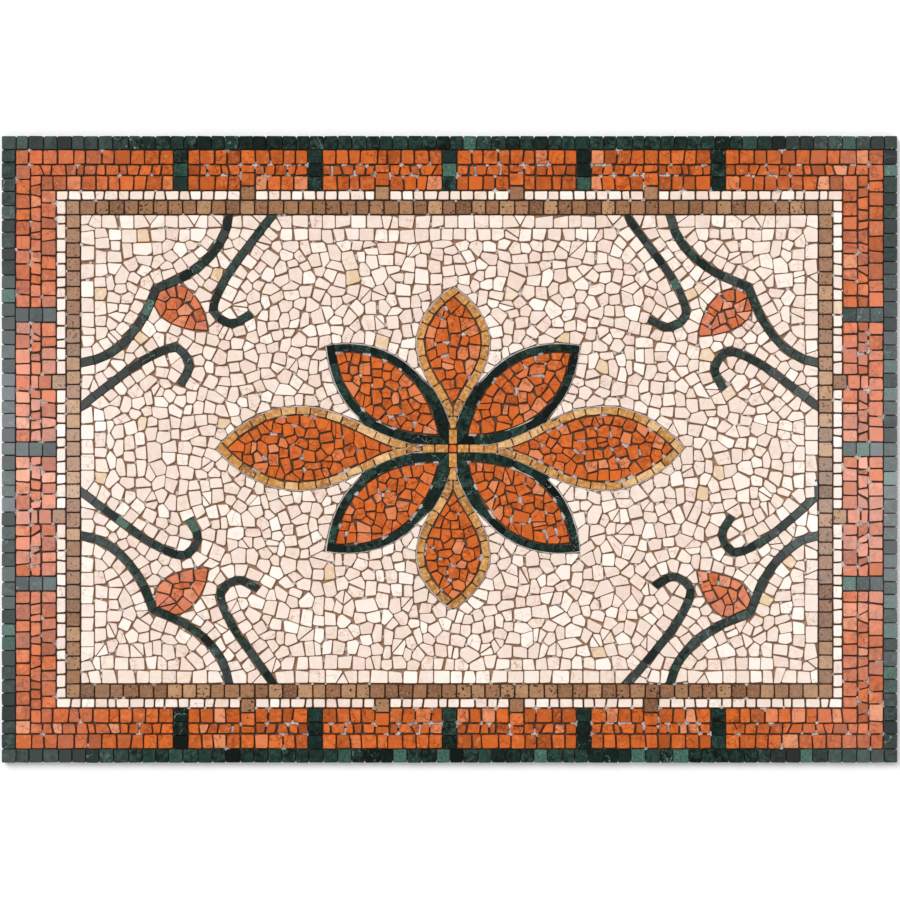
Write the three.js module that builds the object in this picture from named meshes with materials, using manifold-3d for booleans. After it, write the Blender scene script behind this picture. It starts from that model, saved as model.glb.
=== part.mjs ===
// A marble mosaic panel: hand-cut stones laid face up on a glass-fibre net, in millimetres, +Z up.
// The panel lies flat. X runs along its long side, and the origin is under its middle.
import * as THREE from "three";
import { mergeVertices } from "three/addons/utils/BufferGeometryUtils.js";
import Module from "manifold-3d";

// The sheet: its size, the net with its glue, and the stones on it.
const PANEL_LENGTH = 1000;
const PANEL_WIDTH = 700;
const NET_THICKNESS = 1;
const STONE_THICKNESS = 9;
const JOINT = 1;
const JOINT_DEPTH = 5;

// The rows of the border, from the edge inwards.
const EDGE_TILE = 15;
const CORAL_TILE = 14.2;
const CORAL_ROWS = 3;
const IVORY_TILE = 10;
const TRAVERTINE_TILE = 15;
const GLUE_FILM = 1;

// The green bars that part the coral blocks, one in the middle of each side.
const BAR_SPACING = 150;
const LONG_SIDE_BARS = 5;
const SHORT_SIDE_BARS = 3;

// The flower: where its middle was laid, how far each petal reaches from there, its half width
// and its edging.
const FLOWER_X = 4;
const FLOWER_Y = 1;
const LEFT_PETAL_REACH = 265;
const RIGHT_PETAL_REACH = 259;
const UPRIGHT_PETAL_REACH = 181;
const LEVEL_PETAL_HALF_WIDTH = 47;
const UPRIGHT_PETAL_HALF_WIDTH = 41;
const CORNER_PETAL_REACH_X = 142;
const CORNER_PETAL_REACH_Y = 115;
const PETAL_EDGING = 9.6;
const GOLD_TILE_LENGTH = 18;

// The scroll in each corner of the ivory field: how far along the border it reaches, and how far
// each corner, laid by hand, strays from the shared curves, towards the middle of the panel.
const SCROLL_REACH = 214;
const VINE_WIDTH = 9.4;
const TENDRIL_WIDTH = 8.8;
const CORNERS = [
  { name: "top_left", x: -1, y: 1, vine: [4, 2], bud: [4.5, 0], upper: [0, 0], side: [0, 0] },
  { name: "top_right", x: 1, y: 1, vine: [-2, 0], bud: [-4, 5.5], upper: [-1, 5], side: [-6, 5] },
  { name: "bottom_left", x: -1, y: -1, vine: [1, 2], bud: [5, 0], upper: [9, -6], side: [10, -6] },
  { name: "bottom_right", x: 1, y: -1, vine: [-4, -1], bud: [-2.5, -4], upper: [-7, -2], side: [-15, -2] },
];

// Each curve of a free form is given in shares of that form's own reach and half width.
const PETAL_OUTER_CURVE = [[1, 0], [0.915, 0.51], [0.79, 1], [0.655, 1]];
const PETAL_INNER_CURVE = [[0.655, 1], [0.46, 1], [0.36, 0.28], [0.17, 0]];
const CORNER_PETAL_UPPER = [[1, 1], [0.53, 1.1], [0.127, 0.78], [0.03, 0.04]];
const CORNER_PETAL_LOWER = [[1, 1], [0.945, 0.39], [0.67, 0.04], [0.03, 0.04]];
const VINE_CURVE = [[0.771, 0], [0.738, 0.105], [0.655, 0.215], [0.53, 0.305], [0.374, 0.374]];
const TENDRIL_CURVE = [
  [1, 0], [0.87, 0.168], [0.76, 0.322], [0.694, 0.467],
  [0.715, 0.53], [0.79, 0.565], [0.876, 0.523],
];
const BUD_UPPER_CURVE = [[0.643, 0.607], [0.636, 0.463], [0.505, 0.271], [0.374, 0.402]];
const BUD_LOWER_CURVE = [[0.374, 0.402], [0.322, 0.523], [0.453, 0.598], [0.643, 0.607]];

// Heights, how far a cutting shape or the edge of a petal reaches past what it bounds, and the
// length of the straight sides that make up a curve.
const STONE_FOOT = NET_THICKNESS;
const STONE_TOP = NET_THICKNESS + STONE_THICKNESS;
const OVERCUT = 1;
const PETAL_RUN_ON = 28;
const PETAL_STEP = 30;
const VINE_STEP = 24;
const TENDRIL_STEP = 17;
const BUD_STEP = 17;
const FAR = PANEL_LENGTH;

const wasm = await Module();
wasm.setup();

const STONES = {
  net: { color: 0xcfcac2, roughness: 0.9 },
  green: { color: 0x1f3d36, roughness: 0.45 },
  coral: { color: 0xc4572b, roughness: 0.5 },
  gold: { color: 0xc98a3c, roughness: 0.5 },
  ivory: { color: 0xf0ddd0, roughness: 0.5 },
  travertine: { color: 0x8d6743, roughness: 0.6 },
};

const panel = new THREE.Group();

// Names a solid and puts it in the panel, with the colour of its stone.
function lay(name, stone, solid) {
  const mesh = solid.getMesh();
  const geometry = new THREE.BufferGeometry();
  geometry.setAttribute("position", new THREE.BufferAttribute(mesh.vertProperties, mesh.numProp));
  geometry.setIndex(new THREE.BufferAttribute(mesh.triVerts, 1));
  const flat = geometry.toNonIndexed();
  flat.computeVertexNormals();
  const material = new THREE.MeshStandardMaterial({ ...STONES[stone], metalness: 0 });
  const laid = new THREE.Mesh(flat, material);
  laid.name = name;
  panel.add(laid);
}

// A closed three.js geometry as a solid that can be cut and joined.
function solidOf(geometry) {
  const bare = geometry.clone();
  bare.deleteAttribute("normal");
  bare.deleteAttribute("uv");
  const merged = mergeVertices(bare, 1e-4);
  return new wasm.Manifold(
    new wasm.Mesh({
      numProp: 3,
      vertProperties: merged.attributes.position.array,
      triVerts: new Uint32Array(merged.index.array),
    }),
  );
}

// An upright block over a plan outline, from one height to another.
function prism(outline, from = STONE_FOOT, to = STONE_TOP) {
  const shape = new THREE.Shape(outline.map(([x, y]) => new THREE.Vector2(x, y)));
  const geometry = new THREE.ExtrudeGeometry(shape, { depth: to - from, bevelEnabled: false });
  return solidOf(geometry.translate(0, 0, from));
}

// The same block, tall enough to cut right through the stones.
function cutter(outline) {
  return prism(outline, STONE_FOOT - OVERCUT, STONE_TOP + OVERCUT);
}

const rectangle = (x0, y0, x1, y1) => [[x0, y0], [x1, y0], [x1, y1], [x0, y1]];

// A rectangle centred on the panel, whose sides lie the given distance in from the panel's edge.
function inset(depth) {
  const x = PANEL_LENGTH / 2 - depth;
  const y = PANEL_WIDTH / 2 - depth;
  return rectangle(-x, -y, x, y);
}

const join = (solids) => wasm.Manifold.union(solids);

// A joint between two stones: a V-shaped groove in their top, along a line on the plan.
function groove([x0, y0], [x1, y1]) {
  const depth = JOINT_DEPTH + OVERCUT;
  const half = ((JOINT / 2) * depth) / JOINT_DEPTH;
  const section = new THREE.Shape([
    new THREE.Vector2(0, -JOINT_DEPTH),
    new THREE.Vector2(half, OVERCUT),
    new THREE.Vector2(-half, OVERCUT),
  ]);
  const length = Math.hypot(x1 - x0, y1 - y0);
  const geometry = new THREE.ExtrudeGeometry(section, { depth: length, bevelEnabled: false });
  geometry.rotateX(Math.PI / 2).rotateZ(Math.atan2(y1 - y0, x1 - x0) + Math.PI / 2);
  return solidOf(geometry.translate(x0, y0, STONE_TOP));
}

// Where the joints fall when a length is shared between whole stones of about the given size.
function jointsAlong(from, to, tile) {
  const count = Math.max(1, Math.round((to - from + JOINT) / (tile + JOINT)));
  return Array.from({ length: count - 1 }, (_, i) => from + ((to - from) * (i + 1)) / count);
}

// A closed row of square stones round the panel, with its outer side at the given depth.
function squareRow(depth, tile) {
  const x = PANEL_LENGTH / 2 - depth;
  const y = PANEL_WIDTH / 2 - depth;
  const grooves = [];
  for (const side of [-1, 1]) {
    for (const at of jointsAlong(-x, x, tile))
      grooves.push(groove([at, side * (y - tile - OVERCUT)], [at, side * (y + OVERCUT)]));
    for (const at of jointsAlong(-(y - tile), y - tile, tile))
      grooves.push(groove([side * (x - tile - OVERCUT), at], [side * (x + OVERCUT), at]));
    for (const end of [-1, 1])
      grooves.push(groove([end * (x - tile), side * (y - tile)], [end * (x + OVERCUT), side * (y - tile)]));
  }
  const ring = prism(inset(depth)).subtract(cutter(inset(depth + tile)));
  return { ring, grooves };
}

// The border's depths, from the panel's edge inwards.
const CORAL_BAND = CORAL_ROWS * CORAL_TILE + (CORAL_ROWS - 1) * JOINT;
const CORAL_DEPTH = EDGE_TILE + JOINT;
const IVORY_DEPTH = CORAL_DEPTH + CORAL_BAND + JOINT;
const TRAVERTINE_DEPTH = IVORY_DEPTH + IVORY_TILE + JOINT;
const FIELD_DEPTH = TRAVERTINE_DEPTH + TRAVERTINE_TILE + JOINT;

// The four sides of the panel: which way each faces, how long it is, and its bars.
const SIDES = [
  { name: "top", turn: 0, half: PANEL_WIDTH / 2, bars: LONG_SIDE_BARS },
  { name: "bottom", turn: Math.PI, half: PANEL_WIDTH / 2, bars: LONG_SIDE_BARS },
  { name: "left", turn: Math.PI / 2, half: PANEL_LENGTH / 2, bars: SHORT_SIDE_BARS },
  { name: "right", turn: -Math.PI / 2, half: PANEL_LENGTH / 2, bars: SHORT_SIDE_BARS },
];

// A point at a place along a side and a depth in from the panel's edge, on the plan.
function onSide(side, along, depth) {
  const [cos, sin] = [Math.round(Math.cos(side.turn)), Math.round(Math.sin(side.turn))];
  const out = side.half - depth;
  return [along * cos - out * sin, along * sin + out * cos];
}

// A rectangle on a side, from one place along it to another and from one depth to another.
function sideBlock(side, from, to, outer, inner) {
  return [
    onSide(side, from, inner),
    onSide(side, to, inner),
    onSide(side, to, outer),
    onSide(side, from, outer),
  ];
}

const barPlaces = (side) =>
  Array.from({ length: side.bars }, (_, i) => (i - (side.bars - 1) / 2) * BAR_SPACING);
const studPlaces = (side) =>
  Array.from({ length: side.bars - 1 }, (_, i) => (i - (side.bars - 2) / 2) * BAR_SPACING);

// The net with its glue, under every stone.
function layNet() {
  lay("mesh_backing", "net", prism(inset(0), 0, NET_THICKNESS));
}

// The outer row of green squares, with the bars that reach in across the coral.
function layGreenBorder() {
  const { ring, grooves } = squareRow(0, EDGE_TILE);
  const bars = [];
  for (const side of SIDES)
    for (const at of barPlaces(side)) {
      const [from, to] = [at - EDGE_TILE / 2, at + EDGE_TILE / 2];
      bars.push(prism(sideBlock(side, from, to, EDGE_TILE, CORAL_DEPTH + CORAL_BAND)));
      for (let row = 0; row < CORAL_ROWS; row++) {
        const depth = EDGE_TILE + JOINT / 2 + row * (CORAL_TILE + JOINT);
        grooves.push(
          groove(onSide(side, from - OVERCUT, depth), onSide(side, to + OVERCUT, depth)),
        );
      }
    }
  lay("green_border", "green", join([ring, ...bars]).subtract(join(grooves)));
}

// The outline of a stud, a brown square set out across the ivory row, with room around it.
function studOutline(side, at, room) {
  const half = TRAVERTINE_TILE / 2 + room;
  const outer = TRAVERTINE_DEPTH - JOINT - TRAVERTINE_TILE - room;
  return sideBlock(side, at - half, at + half, outer, TRAVERTINE_DEPTH);
}

// The row of brown squares round the field, with a stud opposite each coral block.
function layTravertineRow() {
  const ring = prism(inset(TRAVERTINE_DEPTH)).subtract(cutter(inset(TRAVERTINE_DEPTH + TRAVERTINE_TILE)));
  const studs = SIDES.flatMap((side) =>
    studPlaces(side).map((at) => prism(studOutline(side, at, 0), STONE_FOOT + GLUE_FILM, STONE_TOP)),
  );
  lay("travertine_row", "travertine", join([ring, ...studs]));
}

// Every stud with a joint's room around it, to cut out of the rows that it crosses.
function studCutters() {
  return join(SIDES.flatMap((side) => studPlaces(side).map((at) => cutter(studOutline(side, at, JOINT)))));
}

// The narrow ivory row. Its stones stop at each stud, and the glue film runs on under it.
function layIvoryRow() {
  const inner = inset(IVORY_DEPTH + IVORY_TILE);
  const stones = prism(inset(IVORY_DEPTH)).subtract(cutter(inner)).subtract(studCutters());
  const film = prism(inset(IVORY_DEPTH), STONE_FOOT, STONE_FOOT + GLUE_FILM).subtract(cutter(inner));
  lay("ivory_row", "ivory", join([film, stones]));
}

// The coral band between the bars: straight blocks along the sides and an angle at each corner.
function layCoralBlocks() {
  const bars = SIDES.flatMap((side) =>
    barPlaces(side).map((at) => {
      const half = EDGE_TILE / 2 + JOINT;
      const inner = CORAL_DEPTH + CORAL_BAND + OVERCUT;
      return cutter(sideBlock(side, at - half, at + half, CORAL_DEPTH - OVERCUT, inner));
    }),
  );
  const band = prism(inset(CORAL_DEPTH)).subtract(cutter(inset(CORAL_DEPTH + CORAL_BAND)));
  const blocks = band.subtract(join(bars)).subtract(studCutters()).decompose();
  const counts = {};
  const placed = blocks.map((block) => {
    const { min, max } = block.boundingBox();
    const [x, y] = [(min[0] + max[0]) / 2, (min[1] + max[1]) / 2];
    return { block, x, y, wide: max[0] - min[0], tall: max[1] - min[1] };
  });
  placed.sort((a, b) => a.x - b.x || b.y - a.y);
  for (const { block, x, y, wide, tall } of placed) {
    const rows = CORAL_BAND + OVERCUT;
    const upright = y > 0 ? "top" : "bottom";
    const level = x < 0 ? "left" : "right";
    if (wide > rows && tall > rows) {
      lay(`coral_corner_${upright}_${level}`, "coral", block);
      continue;
    }
    const side = wide > tall ? upright : level;
    counts[side] = (counts[side] ?? 0) + 1;
    lay(`coral_block_${side}_${counts[side]}`, "coral", block);
  }
}

const bezier = (points) => new THREE.CubicBezierCurve(...points.map(([x, y]) => new THREE.Vector2(x, y)));

// Points along a curve, near the given distance apart.
function chords(curve, step) {
  const count = Math.max(2, Math.round(curve.getLength() / step));
  return curve.getSpacedPoints(count).map((p) => [p.x, p.y]);
}

// The unit normal to the left of a line of points, at one of them, lengthened at a bend.
function normalAt(points, i) {
  const step = (a, b) => {
    const length = Math.hypot(b[0] - a[0], b[1] - a[1]);
    return [(b[0] - a[0]) / length, (b[1] - a[1]) / length];
  };
  const before = i > 0 ? step(points[i - 1], points[i]) : step(points[0], points[1]);
  const after = i < points.length - 1 ? step(points[i], points[i + 1]) : before;
  const sum = [before[0] + after[0], before[1] + after[1]];
  const square = (sum[0] ** 2 + sum[1] ** 2) / 2;
  return [-sum[1] / square, sum[0] / square];
}

// A line of points moved sideways, to the left for a positive distance.
function shifted(points, distance) {
  return points.map((p, i) => {
    const [nx, ny] = normalAt(points, i);
    return [p[0] + nx * distance, p[1] + ny * distance];
  });
}

// The same line run on past both ends, so that two such lines cross.
function runOn(points, distance) {
  const past = ([x, y], [nextX, nextY]) => {
    const share = distance / Math.hypot(x - nextX, y - nextY);
    return [x + (x - nextX) * share, y + (y - nextY) * share];
  };
  const last = points.length - 1;
  return [past(points[0], points[1]), ...points, past(points[last], points[last - 1])];
}

// A petal lies between two edges that run from its tip to its foot: one to its left, one to its
// right. Growing it moves both edges out, and a negative growth moves them in.
function petalBody(petal, growth, solidOver = cutter) {
  const side = (edge, sign) => {
    const line = runOn(shifted(edge, sign * growth), PETAL_RUN_ON);
    const far = shifted([line[0], line[line.length - 1]], -sign * FAR);
    const outline = [...line, far[1], far[0]];
    return solidOver(sign > 0 ? outline.reverse() : outline);
  };
  return side(petal.right, 1).intersect(side(petal.left, -1));
}

// Turns and mirrors a petal drawn along +X, with its edges kept on their own sides.
function placed(petal, place) {
  const [left, right] = [petal.left.map(place), petal.right.map(place)];
  const [a, b, c] = [place([0, 0]), place([1, 0]), place([0, 1])];
  const mirrored = (b[0] - a[0]) * (c[1] - a[1]) - (b[1] - a[1]) * (c[0] - a[0]) < 0;
  return { left: mirrored ? right : left, right: mirrored ? left : right };
}

// A petal on an axis of the flower, drawn along +X, with its stem running in to the middle.
function axisPetal(reach, halfWidth) {
  const place = ([s, w]) => [s * reach, PETAL_EDGING / 2 + w * (halfWidth - PETAL_EDGING / 2)];
  const outer = PETAL_OUTER_CURVE.map(place);
  outer[0] = [reach, 0];
  const path = new THREE.CurvePath();
  path.add(bezier(outer));
  path.add(bezier(PETAL_INNER_CURVE.map(place)));
  const foot = place(PETAL_INNER_CURVE[3]);
  path.add(new THREE.LineCurve(new THREE.Vector2(...foot), new THREE.Vector2(0, foot[1])));
  const left = chords(path, PETAL_STEP);
  left[left.length - 1] = [0, foot[1]];
  const right = left.map(([x, y]) => [x, -y]);
  return { left, right, joints: petalJoints(left) };
}

// A petal between two of the others, drawn in the quarter where X and Y are positive.
function cornerPetal() {
  const place = ([x, y]) => [x * CORNER_PETAL_REACH_X, y * CORNER_PETAL_REACH_Y];
  const edge = (points) => chords(bezier(points.map(place)), PETAL_STEP);
  return { left: edge(CORNER_PETAL_UPPER), right: edge(CORNER_PETAL_LOWER) };
}

// The place a given distance along a line of points, with the direction there.
function placeAlong(line, distance) {
  let left = distance;
  for (let i = 1; i < line.length; i++) {
    const [[x0, y0], [x1, y1]] = [line[i - 1], line[i]];
    const length = Math.hypot(x1 - x0, y1 - y0);
    const direction = [(x1 - x0) / length, (y1 - y0) / length];
    if (left <= length) return { at: [x0 + direction[0] * left, y0 + direction[1] * left], direction };
    left -= length;
  }
  return null;
}

// The joints of a petal on an axis, drawn along +X. They cross its edging on both sides where
// it is hollow, and its stem further in. The stone where the two sides part is whole.
function petalJoints(edge) {
  const joints = [];
  const pitch = GOLD_TILE_LENGTH + JOINT;
  const hollowFrom = PETAL_EDGING + PETAL_EDGING / 2;
  for (let distance = pitch / 2; placeAlong(edge, distance); distance += pitch) {
    const { at, direction } = placeAlong(edge, distance);
    const [x, y] = at;
    const across = ([dx, dy], length) => [x + dy * length, y - dx * length];
    const outer = across(direction, -OVERCUT);
    const inner = across(direction, PETAL_EDGING + OVERCUT);
    if (y > hollowFrom) joints.push([outer, inner], [outer, inner].map(([u, v]) => [u, -v]));
    else if (y < PETAL_EDGING / 2 + JOINT) joints.push([[x, y + OVERCUT], [x, -y - OVERCUT]]);
  }
  return joints;
}

const AXIS_PETALS = [
  { name: "right", turn: 0, reach: RIGHT_PETAL_REACH, halfWidth: LEVEL_PETAL_HALF_WIDTH },
  { name: "top", turn: 1, reach: UPRIGHT_PETAL_REACH, halfWidth: UPRIGHT_PETAL_HALF_WIDTH },
  { name: "left", turn: 2, reach: LEFT_PETAL_REACH, halfWidth: LEVEL_PETAL_HALF_WIDTH },
  { name: "bottom", turn: 3, reach: UPRIGHT_PETAL_REACH, halfWidth: UPRIGHT_PETAL_HALF_WIDTH },
];

const onFlower = (outline) => outline.map(([x, y]) => [FLOWER_X + x, FLOWER_Y + y]);

// The four gold-edged petals on the axes, their coral fills and the stone in the middle.
function layAxisPetals() {
  const half = PETAL_EDGING / 2;
  const middle = onFlower(rectangle(-half, -half, half, half));
  const roomy = half + JOINT;
  const clearMiddle = cutter(onFlower(rectangle(-roomy, -roomy, roomy, roomy)));
  lay("centre_stone", "coral", prism(middle));
  const outlines = [clearMiddle];
  for (const { name, turn, reach, halfWidth } of AXIS_PETALS) {
    const [cos, sin] = [[1, 0], [0, 1], [-1, 0], [0, -1]][turn];
    const turned = ([x, y]) => [FLOWER_X + x * cos - y * sin, FLOWER_Y + x * sin + y * cos];
    const drawn = axisPetal(reach, halfWidth);
    const petal = placed(drawn, turned);
    const ownSide = cutter(rectangle(0, -FAR, FAR, FAR).map(turned));
    const whole = petalBody(petal, 0, prism).intersect(ownSide);
    const hollow = petalBody(petal, -PETAL_EDGING).intersect(ownSide);
    const grooves = drawn.joints.map(([from, to]) => groove(turned(from), turned(to)));
    const edging = whole.subtract(hollow).subtract(clearMiddle);
    lay(`gold_edging_${name}`, "gold", edging.subtract(join(grooves)));
    lay(`coral_petal_${name}`, "coral", petalBody(petal, -PETAL_EDGING - JOINT, prism).intersect(ownSide));
    outlines.push(petalBody(petal, JOINT).intersect(ownSide));
  }
  return join(outlines);
}

// The four green-edged petals between them. Each stops a joint short of the gold.
function layCornerPetals(gold) {
  const outlines = [];
  for (const { name, x, y } of CORNERS) {
    const petal = placed(cornerPetal(), (p) => [FLOWER_X + p[0] * x, FLOWER_Y + p[1] * y]);
    const hollow = petalBody(petal, -PETAL_EDGING);
    const edging = petalBody(petal, 0, prism).subtract(hollow).subtract(gold);
    lay(`green_edging_${name}`, "green", largest(edging));
    lay(`coral_petal_${name}`, "coral", petalBody(petal, -PETAL_EDGING - JOINT, prism));
    outlines.push(petalBody(petal, JOINT));
  }
  return join(outlines);
}

// The biggest piece of a solid that a cut has left in several.
function largest(solid) {
  return solid.decompose().reduce((a, b) => (a.volume() > b.volume() ? a : b));
}

// A band of stones of one width along a line of points, run on where it meets the border.
function band(points, width) {
  const start = runOn(points, OVERCUT * 2)[0];
  const line = [start, ...points];
  return [...shifted(line, -width / 2), ...shifted(line, width / 2).reverse()];
}

const spline = (points) => new THREE.SplineCurve(points.map(([x, y]) => new THREE.Vector2(x, y)));

// The scroll of one corner, measured from the field's corner along each side: a vine from border
// to border with a bud in its bend, and a tendril on each side of it. A vine strays most at its
// middle, and a tendril at its tip.
function scroll(corner) {
  const place = ([x, y]) => [x * SCROLL_REACH, y * SCROLL_REACH];
  const mirror = ([x, y]) => [y, x];
  const strayed = (line, [dx, dy], share) =>
    line.map(([x, y], i) => {
      const part = share(i / (line.length - 1));
      return [x + dx * part, y + dy * part];
    });
  const half = chords(spline(VINE_CURVE.map(place)), VINE_STEP);
  const vine = [...half, ...half.slice(0, -1).map(mirror).reverse()];
  const tendril = chords(spline(TENDRIL_CURVE.map(place)), TENDRIL_STEP);
  const side = (curve) => chords(bezier(curve.map(place)), BUD_STEP).slice(0, -1);
  return {
    vine: strayed(vine, corner.vine, (t) => Math.sin(Math.PI * t)),
    bud: strayed([...side(BUD_UPPER_CURVE), ...side(BUD_LOWER_CURVE)], corner.bud, () => 1),
    tendrils: {
      upper: strayed(tendril, corner.upper, Math.sqrt),
      side: strayed(tendril.map(mirror), corner.side, Math.sqrt),
    },
  };
}

// An outline moved out by a distance all round.
function grown(outline, distance) {
  const count = outline.length;
  const area = outline.reduce((sum, [x, y], i) => {
    const [nextX, nextY] = outline[(i + 1) % count];
    return sum + x * nextY - nextX * y;
  }, 0);
  return outline.map((_, i) => {
    const three = [outline[(i + count - 1) % count], outline[i], outline[(i + 1) % count]];
    return shifted(three, area > 0 ? -distance : distance)[1];
  });
}

// The four corner scrolls, each cut to the field, and the room that they take from it.
function layScrolls() {
  const field = cutter(inset(FIELD_DEPTH));
  const rooms = [];
  for (const corner of CORNERS) {
    const { name, x, y } = corner;
    const { vine, bud, tendrils } = scroll(corner);
    const place = (p) => [
      x * (PANEL_LENGTH / 2 - FIELD_DEPTH - p[0]),
      y * (PANEL_WIDTH / 2 - FIELD_DEPTH - p[1]),
    ];
    const turned = (outline) => (x * y > 0 ? outline : [...outline].reverse()).map(place);
    const whole = (line) => [...line.slice(0, -1), ...runOn(line, OVERCUT * 2).slice(-2)];
    const vineLine = whole(vine);
    const vineRoom = cutter(turned(band(vineLine, VINE_WIDTH + 2 * JOINT)));
    lay(`vine_${name}`, "green", prism(turned(band(vineLine, VINE_WIDTH))).intersect(field));
    lay(`bud_${name}`, "coral", prism(turned(bud)).subtract(vineRoom));
    rooms.push(vineRoom, cutter(turned(grown(bud, JOINT))));
    for (const [which, line] of Object.entries(tendrils)) {
      lay(`tendril_${name}_${which}`, "green", prism(turned(band(line, TENDRIL_WIDTH))).intersect(field));
      const past = runOn(line, JOINT).slice(1);
      rooms.push(cutter(turned(band(past, TENDRIL_WIDTH + 2 * JOINT))));
    }
  }
  return join(rooms);
}

// The ivory field around the flower, and the corner of it that each vine cuts off.
function layField(motifs) {
  const pieces = prism(inset(FIELD_DEPTH)).subtract(motifs).decompose();
  pieces.sort((a, b) => b.volume() - a.volume());
  lay("ivory_field", "ivory", pieces[0]);
  for (const piece of pieces.slice(1, 1 + CORNERS.length)) {
    const { min, max } = piece.boundingBox();
    const upright = min[1] + max[1] > 0 ? "top" : "bottom";
    const level = min[0] + max[0] < 0 ? "left" : "right";
    lay(`ivory_field_${upright}_${level}`, "ivory", piece);
  }
}

layNet();
layGreenBorder();
layCoralBlocks();
layIvoryRow();
layTravertineRow();
const gold = layAxisPetals();
const green = layCornerPetals(gold);
const scrolls = layScrolls();
layField(join([gold, green, scrolls]));

export default panel;
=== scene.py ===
# A marble mosaic panel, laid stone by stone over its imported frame. The panel lies flat, face up:
# X runs along its long side, Y across it, and the origin is under its middle.
import math

import bpy
import numpy as np
from bpy.props import FloatProperty, FloatVectorProperty, PointerProperty
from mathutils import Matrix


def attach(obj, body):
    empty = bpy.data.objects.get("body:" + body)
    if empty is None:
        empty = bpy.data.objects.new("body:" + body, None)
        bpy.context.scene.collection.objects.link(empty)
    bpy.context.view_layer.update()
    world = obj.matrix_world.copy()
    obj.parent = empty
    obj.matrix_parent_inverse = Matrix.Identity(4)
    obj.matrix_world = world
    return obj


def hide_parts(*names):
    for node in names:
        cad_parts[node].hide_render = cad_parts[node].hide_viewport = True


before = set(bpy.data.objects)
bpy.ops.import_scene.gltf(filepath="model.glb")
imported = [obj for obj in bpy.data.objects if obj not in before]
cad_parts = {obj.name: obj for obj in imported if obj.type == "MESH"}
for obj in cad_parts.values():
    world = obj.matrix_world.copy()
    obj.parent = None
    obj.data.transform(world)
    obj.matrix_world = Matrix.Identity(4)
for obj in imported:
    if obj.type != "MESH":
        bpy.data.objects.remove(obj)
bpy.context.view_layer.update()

bl_info = {
    "name": "Marble Mosaic Panel",
    "version": (1, 0, 0),
    "blender": (4, 5, 0),
    "location": "View3D > Sidebar > Mosaic",
    "description": "Lays the stones of a marble mosaic panel over its packed frame",
    "category": "Object",
}

# The sheet, in metres, as the frame has it.
HALF_LENGTH = 0.5
HALF_WIDTH = 0.35
FOOT = 0.001
TOP = 0.010

# Joint lines of the border, from the panel's edge inwards.
EDGE_LINE = 0.0155
CORAL_LINES = (EDGE_LINE, 0.0322, 0.0444, 0.0611)
IVORY_LINE = 0.0721
TRAVERTINE_LINE = 0.0881
FIELD_DEPTH = 0.0886
# A stud pushes the coral rows beside it outwards, to these lines.
PUSHED_LINES = (0.0412, 0.0561)

# The bars and studs of the border.
BAR_SPACING = 0.150
BAR_LINE = 0.008
STUD_LINE = 0.0083
SIDES = ("top", "bottom", "left", "right")
LONG_SIDES = ("top", "bottom")
LONG_BARS = (-2, -1, 0, 1, 2)
SHORT_BARS = (-1, 0, 1)

# The rows of coral from the edge inwards, in the blocks and in the angles: size of a stone, how
# uneven the sizes are, how much the cuts slant and how ragged the sides are.
BLOCK_ROWS = (
    (0.0154, 0.16, 0.0011, 0.0009), (0.0118, 0.26, 0.0034, 0.0013), (0.0150, 0.18, 0.0012, 0.0009),
)
ANGLE_ROWS = (
    (0.0156, 0.13, 0.0009, 0.0009), (0.0124, 0.22, 0.0030, 0.0009), (0.0152, 0.15, 0.0010, 0.0009),
)
# The same four values of the other rows, each after the joint between the stones.
GREEN_ROW = (0.0006, 0.0156, 0.09, 0.0003, 0.0005)
IVORY_ROW = (0.0014, 0.0136, 0.20, 0.0008, 0.0004)
TRAVERTINE_ROW = (0.0009, 0.0161, 0.06, 0.0003, 0.0004)
BAR_JOINT = 0.0006
STUD_JOINT = 0.0012
# The green row starts half a joint outside the edge, so that its stones end at the edge.
GREEN_OVERHANG = -0.0003
# How far the corners of the stones are worn.
SQUARE_WORN = 0.0012
BLOCK_WORN = 0.0011
ROW_WORN = 0.0014
TRAVERTINE_WORN = 0.0019
# No stone of the border is narrower than this.
NARROWEST = 0.0031

# The flower and the scrolls, drawn with the curves that the frame's solids have.
FLOWER = (0.004, 0.001)
PETAL_EDGING = 0.0096
STEM_HALF_WIDTH = 0.0066
# The petals on the axes: quarter turns from the right, reach and half width.
AXIS_PETALS = {
    "right": (0, 0.259, 0.047),
    "top": (1, 0.181, 0.041),
    "left": (2, 0.265, 0.047),
    "bottom": (3, 0.181, 0.041),
}
CORNER_PETAL_REACH = (0.142, 0.115)
SCROLL_REACH = 0.214
VINE_WIDTH = 0.0094
TENDRIL_WIDTH = 0.0088
# Green stones fill the slivers of field beside the gold that are narrower than the wedge, and all
# that is nearer to the middle than the reach.
WEDGE = 0.0042
MIDDLE_REACH = 0.059
# In a bend a vine is cut as if each radian were this much longer.
BEND_LENGTH = 0.012
# The corners: the side of the middle along X and along Y, and how many millimetres the vine, the bud,
# the upper tendril and the side tendril stray, as they were laid by hand.
CORNERS = {
    "top_left": (-1, 1, (4, 2), (4.5, 0), (0, 0), (0, 0)),
    "top_right": (1, 1, (-2, 0), (-4, 5.5), (-1, 5), (-6, 5)),
    "bottom_left": (-1, -1, (1, 2), (5, 0), (9, -6), (10, -6)),
    "bottom_right": (1, -1, (-4, -1), (-2.5, -4), (-7, -2), (-15, -2)),
}
PETAL_OUTER_CURVE = ((1, 0), (0.915, 0.51), (0.79, 1), (0.655, 1))
PETAL_INNER_CURVE = ((0.655, 1), (0.46, 1), (0.36, 0.28), (0.17, 0))
CORNER_PETAL_UPPER = ((1, 1), (0.53, 1.1), (0.127, 0.78), (0.03, 0.04))
CORNER_PETAL_LOWER = ((1, 1), (0.945, 0.39), (0.67, 0.04), (0.03, 0.04))
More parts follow.
